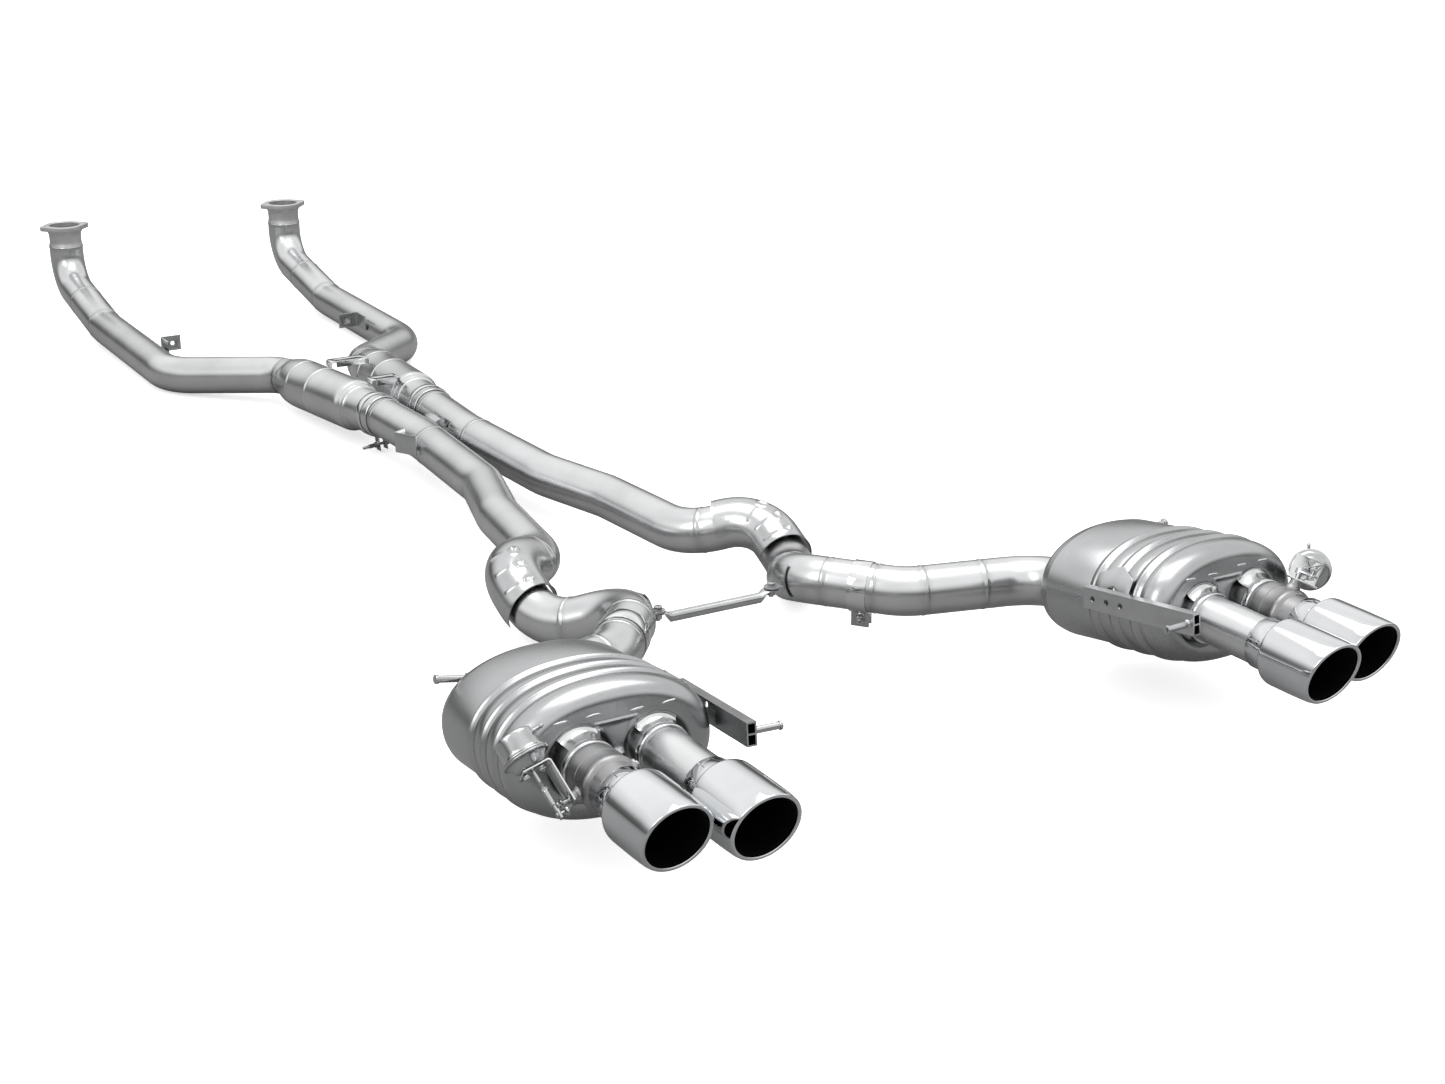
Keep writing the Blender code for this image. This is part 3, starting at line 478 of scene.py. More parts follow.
def strip(name, profile, thick, width):
    """Sheet of even thickness folded along the profile points, and as wide as the width vector."""
    profile = [Vector(p) for p in profile]
    side = width.normalized()
    normals = [(b - a).normalized().cross(side) for a, b in zip(profile, profile[1:])]
    loops = []
    for i, point in enumerate(profile):
        before = normals[max(i - 1, 0)]
        after = normals[min(i, len(normals) - 1)]
        mean = (before + after).normalized()
        offset = mean * (thick / 2 / max(mean.dot(before), 0.35))
        above, below, half = point + offset, point - offset, width / 2
        loops.append([above - half, above + half, below + half, below - half])
    return loft(name, loops)


def plate(name, outline, normal, thick):
    offset = normal.normalized() * (thick / 2)
    outline = [Vector(p) for p in outline]
    return loft(name, [[p - offset for p in outline], [p + offset for p in outline]])


def rounded_path(corners, radii, step):
    """Points along straight lines whose inner corners are rounded to the radii."""
    corners = [Vector(c) for c in corners]
    points = [corners[0]]
    for before, corner, after, radius in zip(corners, corners[1:], corners[2:], radii):
        towards, away = (corner - before).normalized(), (after - corner).normalized()
        angle = towards.angle(away)
        tangent = radius * tan(angle / 2)
        centre = corner + (away - towards).normalized() * (radius / cos(angle / 2))
        start = corner - towards * tangent - centre
        axis = towards.cross(away).normalized()
        count = max(1, round(angle / step))
        points += [centre + Matrix.Rotation(angle * i / count, 3, axis) @ start for i in range(count + 1)]
    points.append(corners[-1])
    return points


class Line:
    """Centre line with a frame carried along it without twist."""

    def __init__(self, points):
        self.points = points
        self.marks = [0.0]
        for a, b in zip(points, points[1:]):
            self.marks.append(self.marks[-1] + (b - a).length)

    def place(self, mark):
        """Point and direction at a distance along the line."""
        last = len(self.points) - 2
        i = min(max(sum(m <= mark for m in self.marks) - 1, 0), last)
        a, b = self.points[i], self.points[i + 1]
        ahead = (b - a).normalized()
        return a + ahead * (mark - self.marks[i]), ahead

    def near(self, y, after=0.0):
        """First distance past after at which the line reaches y going rearwards."""
        for a, b, mark in zip(self.points, self.points[1:], self.marks):
            length = (b - a).length
            if mark + length > after and a.y > y >= b.y:
                return mark + length * (a.y - y) / (a.y - b.y)
        return self.marks[-1]

    def frames(self, start, end, extra=()):
        """(mark, point, u, v) at the line's own points and the extra marks between start and end."""
        marks = {start, end}
        marks |= {m for m in self.marks if start + 0.002 < m < end - 0.002}
        marks = {m for m in marks if m in (start, end) or all(abs(m - e) > 0.001 for e in extra)}
        marks |= {e for e in extra if start <= e <= end}
        marks = sorted(marks)
        frames = []
        u = None
        for i, mark in enumerate(marks):
            point, ahead = self.place(mark)
            behind = self.place(mark - 1e-4)[1] if i else ahead
            ahead = (ahead + behind).normalized()
            if u is None:
                u = across(ahead)[0]
            u = (u - ahead * u.dot(ahead)).normalized()
            frames.append((mark, point, u, ahead.cross(u)))
        return frames


LINE = Line(rounded_path(CORNERS, BEND_RADII, BEND_STEP))


def bead_shape(distance, half=0.0024):
    """Height share of a weld bead at a distance from its crown."""
    return max(0.0, 1 - (distance / half) ** 2) ** 0.8


def pipe(name, line, start, end, radius=PIPE_R, wall=WALL, beads=(), sides=64):
    """Open tube with weld beads, and a faint groove and a darkened band at each."""
    apart_at = (0.0009, 0.0017, 0.0023, 0.0030, 0.006, 0.012)
    extra = [b + way * d for b in beads for d in (0, *apart_at) for way in (-1, 1)]
    outer, seams = [], []
    for mark, point, u, v in line.frames(start, end, extra):
        apart = min((abs(mark - b) for b in beads), default=1.0)
        rise = BEAD_RISE * bead_shape(apart)
        dip = -0.0002 if 0.0028 < apart < 0.0032 else 0.0
        outer.append(circle(point, u, v, radius + rise + dip, sides))
        seams.append(max(0.0, 0.8 * (1 - apart / 0.0125)))
    inner = [circle(p, u, v, radius - wall, sides) for _, p, u, v in line.frames(start, end)]
    return loft(name, outer + inner[::-1], ring=True, seams=seams + [0.0] * len(inner))


def bar(name, points, radii, radius, sides=32):
    """Solid round bar along a line with rounded corners."""
    line = Line(rounded_path(points, radii, radians(8)))
    return loft(name, [circle(p, u, v, radius, sides) for _, p, u, v in line.frames(0, line.marks[-1])])


def squircle(angle, a, b, power):
    """Point of a superellipse with half axes a and b."""
    c, s = cos(angle), sin(angle)
    return copysign(abs(c) ** (2 / power), c) * a, copysign(abs(s) ** (2 / power), s) * b


def oval(centre, u, v, a, b, power, sides):
    outline = (squircle(2 * pi * i / sides, a, b, power) for i in range(sides))
    return [centre + u * x + v * y for x, y in outline]


def ridge(distance, width):
    """Bell-shaped height share of a pressed ridge, at a distance from its crown."""
    return exp(-((distance / width) ** 2))


def sunk(depth, distance, width):
    """Depth of a recess at a distance outside its wall, which is as soft as the width."""
    return depth / (1 + exp(distance / width))


def muffler_frame():
    """Rearward axis and the two section axes of the right-hand muffler."""
    level = cos(MUFFLER_PITCH)
    axis = Vector((sin(MUFFLER_YAW) * level, -cos(MUFFLER_YAW) * level, sin(MUFFLER_PITCH)))
    flat = Vector((cos(MUFFLER_YAW), sin(MUFFLER_YAW), 0))
    up = axis.cross(flat)
    c, s = cos(MUFFLER_ROLL), sin(MUFFLER_ROLL)
    return axis, flat * c + up * s, up * c - flat * s


MUFFLER_AXIS, MUFFLER_U, MUFFLER_V = muffler_frame()


def in_muffler(s, x=0.0, y=0.0):
    """Point at a distance along the muffler's axis and at section coordinates."""
    return MUFFLER_CENTRE + MUFFLER_AXIS * s + MUFFLER_U * x + MUFFLER_V * y


REAR_FACE_Y = in_muffler(MUFFLER_LENGTH / 2).y


def muffler_loop(s, inset=0.0, sides=144):
    a, b = MUFFLER_A - inset, MUFFLER_B - inset
    return oval(in_muffler(s), MUFFLER_U, MUFFLER_V, a, b, MUFFLER_POWER, sides)


# ---------------------------------------------------------------- showing pieces


def settle(piece, look, sharp):
    """Lowers a piece with the frame, gives it its look and shades it smooth between sharp edges."""
    piece.data.transform(Matrix.Translation((0, 0, LIFT)))
    piece.data.materials.clear()
    piece.data.materials.append(LOOKS[look])
    for face in piece.data.polygons:
        face.use_smooth = True
    piece.data.set_sharp_from_angle(angle=radians(sharp))


def show(piece, nodes, body="system"):
    """The piece rides on a body and stands for CAD nodes, or is a detail where there are none."""
    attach(piece, body)
    if nodes:
        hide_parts(*nodes)


def single(piece, node_name, look, body="system", sharp=SHARP):
    """Shows a piece that stands for one CAD node."""
    settle(piece, look, sharp)
    piece.name = f"{node_name}_skin"
    show(piece, [node_name], body)


def flipped(piece):
    """Turns a piece's mesh into its mirror image on the other run."""
    piece.data.transform(Matrix.Scale(-1, 4, X))
    piece.data.flip_normals()
    return piece


def mirrored(piece, name):
    twin = piece.copy()
    twin.data = piece.data.copy()
    twin.name = name
    bpy.context.scene.collection.objects.link(twin)
    return flipped(twin)


def pair(piece, look, stands_for=True, sharp=SHARP):
    """Shows the right-hand piece and its mirror image, each for the CAD node of its name if there is one."""
    base = piece.name
    settle(piece, look, sharp)
    twin = mirrored(piece, f"{base}_left_skin")
    piece.name = f"{base}_right_skin"
    for side, body in (("left", twin), ("right", piece)):
        show(body, [f"{base}_{side}"] if stands_for else [])


# ---------------------------------------------------------------- front run


def flange():
    """Two-bolt flange on a short machined neck with two small ports."""
    x, y, _ = CORNERS[0]
    sides = 150
    rings = ((0, FLANGE_WAIST_R), (FLANGE_HOLE_X, FLANGE_EAR_R), (-FLANGE_HOLE_X, FLANGE_EAR_R))
    outline = []
    for i in range(sides):
        angle = 2 * pi * (i + 0.5) / sides
        way = Vector((cos(angle), sin(angle), 0))
        off, radius = max(rings, key=lambda ring: ring[0] * way.x + ring[1])
        outline.append(Vector((x + off, y, FLANGE_TOP - FLANGE_THICK / 2)) + way * radius)
    base = soften(plate("inlet_flange", outline, Z, FLANGE_THICK), 0.0010, 3)
    neck_top = FLANGE_TOP - FLANGE_THICK + NECK_SINK
    profile = [(0, 0.0425), (0.005, 0.0425), (0.009, 0.0400), (0.014, 0.0385), (0.030, 0.0380)]
    profile += [(0.0345, 0.0385), (NECK_LENGTH, PIPE_R)]
    bore = [(s, FLANGE_BORE_R + 0.0005) for s in (0, NECK_LENGTH)]
    join(base, turned("tool", Vector((x, y, neck_top)), DOWN, rounded(profile), bore))
    top = Vector((x, y, FLANGE_TOP + 0.005))
    down = Vector((0, 0, -0.07))
    carve(base, rod("tool", top, top + down, FLANGE_BORE_R, 96))
    rim = Vector((x, y, FLANGE_TOP + 0.0002))
    bevel = [(0, FLANGE_BORE_R + 0.0016), (0.0018, FLANGE_BORE_R)]
    carve(base, turned("tool", rim, DOWN, bevel, sides=96))
    for way in (-1, 1):
        hole = top + Vector((way * FLANGE_HOLE_X, 0, 0))
        carve(base, rod("tool", hole, hole + down / 3, FLANGE_HOLE_R))
        seat = Vector((hole.x, y, FLANGE_TOP + 0.0002))
        carve(base, turned("tool", seat, DOWN, [(0, 0.0054), (0.0010, FLANGE_HOLE_R)], sides=32))
    for way in (-1, 1):
        out = Vector((way * 0.90, -0.43, 0))
        port = Vector((x, y, neck_top - 0.018)) + out * 0.0372
        carve(base, rod("tool", port, port + out * 0.006, PORT_R, 24))
    return base


RES_MARK = LINE.near(RESONATOR_FRONT_Y)
RES_ORIGIN, RES_AHEAD = LINE.place(RES_MARK)


def resonator():
    """Round can with a domed front, two swaged rings and a coned rear neck with a double ring."""
    cone_start, cone_end = RESONATOR_REAR_CONE
    dome = [(0.012, 0.0423), (0.015, 0.0430), (0.022, 0.0465), (0.036, 0.0506), (0.062, RESONATOR_R)]
    outer = [(0, 0.0423), *rounded(dome, 3)]
    for swage in RESONATOR_SWAGES:
        dip = [(-0.0065, 0), (-0.0045, 0.0002), (-0.0028, -0.0004), (-0.0014, -0.0017), (0, -0.0021)]
        dip += [(-d, rise) for d, rise in reversed(dip[:-1])]
        outer += [(swage + d, RESONATOR_R + rise) for d, rise in dip]
    outer.append((cone_start - 0.010, RESONATOR_R))
    # (distance past the cone's start, radius), then the same past its end
    rear = [(0, RESONATOR_R), (0.004, RESONATOR_R - 0.0003), (0.010, RESONATOR_R - 0.0040)]
    rear = [(cone_start + s, r) for s, r in (*rear, (0.017, 0.0475), (0.018, 0.0468))]
    ring = [(-0.0035, 0.0452), (-0.0015, 0.0462), (0.0010, 0.0466), (0.0035, 0.0458), (0.0055, 0.0440)]
    rear += [(cone_end + s, r) for s, r in (*ring, (0.0100, RESONATOR_NECK_R))]
    outer += rounded(rear, 2)
    outer += [(RESONATOR_LENGTH - 0.0008, RESONATOR_NECK_R), (RESONATOR_LENGTH, RESONATOR_NECK_R - 0.0007)]
    bore = PIPE_R + 0.0006
    inner = [(0, bore), (0.020, bore), (0.062, RESONATOR_BORE_R)]
    inner += [(cone_start - 0.002, RESONATOR_BORE_R), (cone_end, bore), (RESONATOR_LENGTH, bore)]
    return turned("resonator_shell", RES_ORIGIN, RES_AHEAD, outer, inner, 96)


def clamp_band(name, centre, ahead, radius, width, opening, ear, gap_half=0.008, thick=0.0016):
    """Band round a pipe whose two ends turn out into ears at the opening's angle."""
    side, up = across(ahead)
    mid = radius + 0.0004 + thick / 2

    def around(angle, r):
        return centre + side * (r * cos(angle)) + up * (r * sin(angle))

    half = gap_half / mid
    steps = 72
    way = around(opening, 1.0) - centre
    cross = ahead.cross(way)
    tips = []
    for sign in (1, -1):
        start = around(opening, mid) + cross * (sign * gap_half)
        tips.append((start + way * ear, start + way * 0.004))
    ring = [around(opening + half + (2 * pi - 2 * half) * i / steps, mid) for i in range(steps + 1)]
    band = strip(name, [*tips[0], *ring[1:-1], *reversed(tips[1])], thick, ahead * width)
    return soften(band, 0.0005, 2, 50)


def clamp_bolt(name, centre, ahead, radius, opening, ear, reach, head):
    """Bolt through a clamp's ears, square to them, with flanged nut, washers and thread."""
    side, up = across(ahead)
    way = side * cos(opening) + up * sin(opening)
    cross = ahead.cross(way)
    middle = centre + way * (radius + ear * 0.62)
    bolt = thread(name, middle - cross * reach[0], middle + cross * reach[1], 0.0030)
    face = 0.0093
    for sign in (1, -1):
        foot = middle + cross * (sign * face)
        join(bolt, washer("tool", foot, cross * sign, 0.0012, head * 0.72))
        join(bolt, hexagon("tool", foot + cross * (sign * 0.0010), cross * sign, 0.0056, head))
    barrel = turned("tool", middle + cross * 0.0165, cross, [(0, 0.0042), (0.012, 0.0042)], sides=24)
    return join(soften(bolt, 0.0002, 1, 50), barrel)


def clamp(name, centre, ahead, radius, width, opening, ear, reach, head):
    """Shows a clamp's band and its bolt on both runs."""
    pair(clamp_band(name, centre, ahead, radius, width, opening, ear), "mirror")
    bolt = clamp_bolt(f"{name}_bolt", centre, ahead, radius, opening, ear, reach, head)
    pair(bolt, "zinc", sharp=40)


def bolt_hole(centre, radius):
    """Upright cutter for a hole in thin sheet."""
    return rod("tool", centre - Vector((0, 0, 0.01)), centre + Vector((0, 0, 0.01)), radius)


def folded_tab(name, points, thick, width, radius=0.003):
    """Strip with rounded folds."""
    return strip(name, rounded_path(points, [radius] * (len(points) - 2), radians(15)), thick, width)


def front_bracket():
    """Folded tab with one hole, welded to the inner flank of the front pipe."""
    point, _ = LINE.place(LINE.near(FRONT_BRACKET_Y))
    foot = point + Vector((-PIPE_R - 0.0016, 0, PIPE_R * 0.50))
    corners = [(-0.0010, -0.030, 0.001), (-0.0010, 0.024, 0.001), (-0.046, 0.024, 0.001)]
    tab = folded_tab("front_bracket", [foot + Vector(c) for c in corners], 0.0025, Vector((0, 0, 0.034)))
    edge = [(-0.046, 0.022, 0.0175), (-0.001, 0.022, 0.0175), (-0.001, -0.030, 0.0175)]
    join(tab, folded_tab("tool", [foot + Vector(c) for c in edge], 0.0035, Vector((0, 0, 0.0022))))
    hole = foot + Vector((-0.027, 0.024, 0.001))
    reach = Vector((0, 0.02, 0))
    carve(tab, rod("tool", hole - reach, hole + reach, 0.0048))
    return soften(tab, 0.0005, 2)


def mid_bracket():
    """Open triangular box of folded sheet on the outer flank of the left link pipe."""
    point, _ = LINE.place(LINE.near(MID_BRACKET_Y))
    middle = point + Vector((0, 0, 0.015))
    corners = [(PIPE_R + 0.0025, 0.034, 0), (PIPE_R + 0.0300, 0.020, 0), (PIPE_R + 0.0050, -0.026, 0)]
    name = "mid_bracket_left"
    box = folded_tab(name, [middle + Vector(c) for c in corners], 0.0022, Vector((0, 0, 0.040)), 0.004)
    single(flipped(soften(box, 0.0005, 2)), name, "rail")


def link_tab():
    """Small folded tab on the inner shoulder of the link pipe."""
    point, ahead = LINE.place(LINE.near(LINK_TAB_Y))
    side, up = across(ahead)
    way = up * 0.5 - side * 0.866
    foot = point + way * (PIPE_R + 0.0022)
    flat = way.cross(ahead)
    points = [foot - flat * 0.009, foot + flat * 0.007, foot + flat * 0.007 + way * 0.012]
    return soften(folded_tab("link_tab", points, 0.0020, ahead * 0.050, 0.002), 0.0004, 2)


def front_run():
    pair(flange(), "forged")
    start = NECK_LENGTH + FLANGE_THICK - NECK_SINK
    beads = (start + 0.004, *map(LINE.near, FRONT_WELDS_Y), RES_MARK - 0.020, RES_MARK - 0.008)
    pair(pipe("front_pipe", LINE, start, RES_MARK + 0.005, beads=beads), "satin")
    pair(resonator(), "satin")
    centre = RES_ORIGIN + RES_AHEAD * 0.404
    opening, reach = radians(-95), (0.020, 0.042)
    clamp("slip_clamp", centre, RES_AHEAD, RESONATOR_NECK_R, 0.018, opening, 0.030, reach, 0.010)
    pair(front_bracket(), "rail")


# ---------------------------------------------------------------- middle run


def heat_shield(name, side, start, end):
    """Stamped cover of the over-axle bend with three lipped dimples, each with a pressed slot beside it."""
    rows, steps = 90, 120
    inner_r = PIPE_R + SHIELD_GAP
    frames = []
    marks = [start + (end - start) * i / rows for i in range(rows + 1)]
    for mark, point, _, _ in LINE.frames(start, end, marks):
        ahead = LINE.place(mark)[1]
        frames.append((mark, point, ahead, *across(ahead, SHIELD_UP)))
    centres = []
    for dimple in DIMPLES:
        target = Vector(dimple)
        mark, point, _, outward, up = min(frames, key=lambda f: abs((f[1] - target).dot(f[2])))
        off = target - point
        centres.append((mark, atan2(off.dot(up), off.dot(outward))))
    loops = []
    for mark, point, _, outward, up in frames:
        outside, inside = [], []
        for i in range(steps + 1):
            angle = pi / 2 - SHIELD_SPREAD + 2 * SHIELD_SPREAD * i / steps
            rise = 0.0
            for centre_mark, centre_angle in centres:
                along = mark - centre_mark
                round_way = (angle - centre_angle) * inner_r
                reach = hypot(along, round_way)
                rise += DIMPLE_LIP * ridge(reach - DIMPLE_LIP_R, 0.0016)
                rise -= DIMPLE_DEPTH * max(0.0, 1 - (reach / DIMPLE_R) ** 4)
                past_slot = max(0.0, abs(round_way * side - SLOT_REACH) - SLOT_HALF)
                rise += SLOT_RISE * ridge(hypot(along, past_slot), 0.0017)
            rise += 0.0007 * ridge(min(mark - start, end - mark), 0.0020)
            way = outward * cos(angle) + up * sin(angle)
            outside.append(point + way * (inner_r + SHIELD_SHEET + rise))
            inside.append(point + way * (inner_r + rise))
        loops.append(outside + inside[::-1])
    return loft(name, loops)


def tie_bracket():
    """Saddle on the inside of the rear U-bend with a level tab for the tie rod."""
    point, ahead = LINE.place(LINE.near(TIE_EYE.y + 0.004, LINE.near(-0.84)))
    side, up = across(ahead)
    thick, tab_thick, steps = 0.0022, 0.0028, 24
    radius = PIPE_R + 0.0014 + thick / 2
    start, end = radians(138), radians(222)
    angles = [start + (end - start) * i / steps for i in range(steps + 1)]
    saddle = [point + (side * cos(a) + up * sin(a)) * radius for a in angles]
    bracket = strip("tie_bracket", saddle, thick, ahead * 0.034)
    inner, outer = TIE_EYE.x, saddle[steps // 2].x + 0.0006
    eye = Vector((inner, TIE_EYE.y, TIE_EYE.z + 0.0045))
    centre = Vector(((inner + outer) / 2, eye.y, eye.z))
    join(bracket, block("tool", centre, (outer - inner, 0.024, tab_thick)))
    disc = [(0, 0.012), (tab_thick, 0.012)]
    join(bracket, turned("tool", eye - Vector((0, 0, tab_thick / 2)), Z, disc, sides=48))
    carve(bracket, bolt_hole(eye, TIE_HOLE_R))
    return soften(bracket, 0.0004, 2)


def middle_run():
    # the pipe doubles back at the U-bend, so rearward places are looked for past it
    joint = LINE.near(BAND_CLAMP_Y, LINE.near(-0.95))
    hump = LINE.near(HUMP_Y)
    welds = LINE.near(MID_WELD_Y), hump, LINE.near(BEND_WELD_Y), joint - 0.055
    beads = (RES_MARK + RESONATOR_LENGTH + 0.012, *welds)
    pair(pipe("link_pipe", LINE, RES_MARK + 0.394, joint, beads=beads), "satin")
    for side_name, side in (("left", -1), ("right", 1)):
        name = f"heat_shield_{side_name}"
        shield = heat_shield(name, side, hump + 0.026, LINE.near(SHIELD_END_Y))
        single(flipped(shield) if side < 0 else shield, name, "pressed")
    mid_bracket()
    pair(tie_bracket(), "rail")
    pair(link_tab(), "rail")
    centre, ahead = LINE.place(joint)
    clamp("band_clamp", centre, ahead, PIPE_R, 0.030, radians(-86), 0.026, (0.022, 0.018), 0.013)
    beads = (joint + 0.026, *(LINE.near(y, joint) for y in INLET_WELDS_Y))
    pair(pipe("muffler_inlet_pipe", LINE, joint + SEAM_GAP, LINE.marks[-1], beads=beads), "satin")


# ---------------------------------------------------------------- muffler


def muffler_shell():
    marks = {SHELL_FRONT, SHELL_REAR, SHELL_FRONT + 0.0015}
    for rib in MUFFLER_RIBS:
        marks |= {rib + d * 0.001 for d in range(-12, 13)}
    outer = []
    for mark in sorted(marks):
        inset = 0.0
        for rib in MUFFLER_RIBS:
            apart = abs(mark - rib)
            inset -= RIB_RISE * ridge(apart, 0.0042)
            inset += RIB_GROOVE * ridge(apart - 0.0100, 0.0022)
        outer.append(muffler_loop(mark, inset))
    inner = [muffler_loop(s, WALL) for s in (SHELL_REAR, SHELL_FRONT)]
    return loft("muffler_shell", outer + inner, ring=True)


def muffler_front_cap():
    front, seam = -MUFFLER_LENGTH / 2, SHELL_FRONT - 0.0002
    profile = rounded([(front, 0.030), (front, 0.012), (front + 0.001, 0.003), (seam, 0.0)], 3)
    loops = [muffler_loop(s, inset) for s, inset in profile]
    loops += [muffler_loop(seam, 0.003), muffler_loop(front + WALL, 0.014)]
    entry, ahead = LINE.place(LINE.marks[-1] - 0.02)
    hole = rod("tool", entry - ahead * 0.06, entry + ahead * 0.06, PIPE_R + SLIP_FIT, 96)
    return carve(loft("muffler_front_cap", loops), hole)


def outlet_points():
    """Where the outlets cross the rear face, in the muffler's own section coordinates."""
    found = []
    for x, z in OUTLET_AXES:
        start = Vector((x, 0, z)) - MUFFLER_CENTRE
        reach = (MUFFLER_LENGTH / 2 - start.dot(MUFFLER_AXIS)) / REARWARD.dot(MUFFLER_AXIS)
        off = start + REARWARD * reach
        found.append((off.dot(MUFFLER_U), off.dot(MUFFLER_V)))
    return found


OUTLETS = outlet_points()


def cap_inset(share, edge_reach):
    """Distance in from the rear cap's edge, at a share of the reach from its middle to that edge."""
    return (1 - share) * edge_reach * (0.62 + 0.38 * MUFFLER_B / edge_reach)


def cap_height(x, y, inset):
    """Height of the rear face above the shell's end, from the distance in from its edge."""
    shoulder = min(1.0, inset / CAP_SHOULDER)
    height = REAR_CAP_DEPTH * (1 - (1 - shoulder) ** 2.2) ** (1 / 2.2)
    for ox, oy in OUTLETS:
        height -= sunk(SEAT_DEPTH, hypot(x - ox, y - oy) - SEAT_R, 0.0012)
    # pressed panel between the outlets, wider at its top
    (first_x, first_y), (second_x, second_y) = OUTLETS
    across_panel, up_panel = x - (first_x + second_x) / 2, y - ((first_y + second_y) / 2 + PANEL_LIFT)
    half_width = PANEL_HALF_WIDTH + up_panel * PANEL_FLARE
    past_edge = max(abs(across_panel) - half_width, abs(up_panel) - PANEL_HALF_HEIGHT)
    height -= sunk(PANEL_DEPTH, past_edge, 0.0010)
    return height + PANEL_LIP * ridge(past_edge - 0.0040, 0.0018)


def muffler_rear_cap():
    """Deep pressed cap: round shoulder, sunk outlet seats and a panel pressed in between them."""
    sides, rings = 288, 84
    seam = SHELL_REAR + SEAM_GAP
    loops = [muffler_loop(SHELL_REAR + 0.003, 0.030, sides), muffler_loop(seam, 0.003, sides)]
    for j in range(rings + 1):
        share = max(1 - (j / rings) ** 1.15, 0.012)
        loop = []
        for i in range(sides):
            ex, ey = squircle(2 * pi * i / sides, MUFFLER_A, MUFFLER_B, MUFFLER_POWER)
            x, y = ex * share, ey * share
            loop.append(in_muffler(seam + cap_height(x, y, cap_inset(share, hypot(ex, ey))), x, y))
        loops.append(loop)
    cap = loft("muffler_rear_cap", loops)
    for x, z in OUTLET_AXES:
        bore = Vector((x, MUFFLER_CENTRE.y - 0.03, z))
        carve(cap, rod("tool", bore, bore + Vector((0, -0.16, 0)), OUTLET_R + SLIP_FIT, 96))
    return cap


def on_cap(x, y, lift=0.0):
    """Point on the rear cap's outside at section coordinates."""
    low, high = 0.0, 3.0
    for _ in range(40):
        middle = (low + high) / 2
        power = MUFFLER_POWER
        inside = (abs(x) / MUFFLER_A * middle) ** power + (abs(y) / MUFFLER_B * middle) ** power < 1
        low, high = (middle, high) if inside else (low, middle)
    scale = max(low, 1.0001)
    inset = cap_inset(1 / scale, hypot(x * scale, y * scale))
    return in_muffler(SHELL_REAR + cap_height(x, y, inset) + lift, x, y)


def outlet_saddle(name, index):
    """Welded sheet that runs from the cap's shoulder down into a bell round the top of the outlet."""
    ox, oy = OUTLETS[index]
    x, z = OUTLET_AXES[index]
    spread, steps, rows = radians(42), 40, 24
    collar_r = OUTLET_R + 0.0022
    loops = []
    for j in range(rows + 1):
        t = j / rows
        row, under = [], []
        for i in range(steps + 1):
            a = pi / 2 - spread + 2 * spread * i / steps
            flare = on_cap(ox + 0.0450 * cos(a), oy + 0.0480 * sin(a), 0.0008)
            collar = Vector((x + collar_r * cos(a), REAR_FACE_Y - 0.020, z + collar_r * sin(a)))
            # a quarter-round from the cap's face into the collar
            bend = Vector((collar.x, flare.y, collar.z))
            point = flare.lerp(bend, t).lerp(bend.lerp(collar, t), t)
            inward = (Vector((x, point.y, z)) - point).normalized()
            row.append(point)
            under.append(point + inward * 0.0012 + MUFFLER_AXIS * -0.0006)
        loops.append(row + under[::-1])
    return loft(name, loops, seams=[0.9, 0.5] + [0.0] * (rows - 1))


def weld_bead(name, points, radius=0.0016):
    """Lumpy run of weld metal along the points, thinner towards its ends."""
    line = Line(points)
    total, count = line.marks[-1], 22

    def taper(share):
        return sin(pi * min(1, max(0.08, share * 6)) / 2)

    loops = []
    for i in range(count + 1):
        point, ahead = line.place(min(total * i / count, total - 1e-5))
        side, up = across(ahead)
        swell = taper(i / count) * taper(1 - i / count)
        loops.append(circle(point, side, up, radius * swell * (1 + 0.13 * sin(i * 1.9)), 12))
    return loft(name, loops)


def weld_marks():
    """Two short welds above each outlet, on the cap's shoulder."""
    made = []
    for index, (ox, oy) in enumerate(OUTLETS):
        for k, way in enumerate((-1, 1)):
            points = []
            for d in (-0.010, -0.005, 0, 0.005, 0.010):
                y = oy + 0.0560 - 0.05 * abs(d) + 0.05 * (0.011 - d)
                points.append(on_cap(ox + way * 0.022 + d, y, 0.0002))
            made.append(weld_bead(f"cap_weld_{index}{k}", points))
    return made


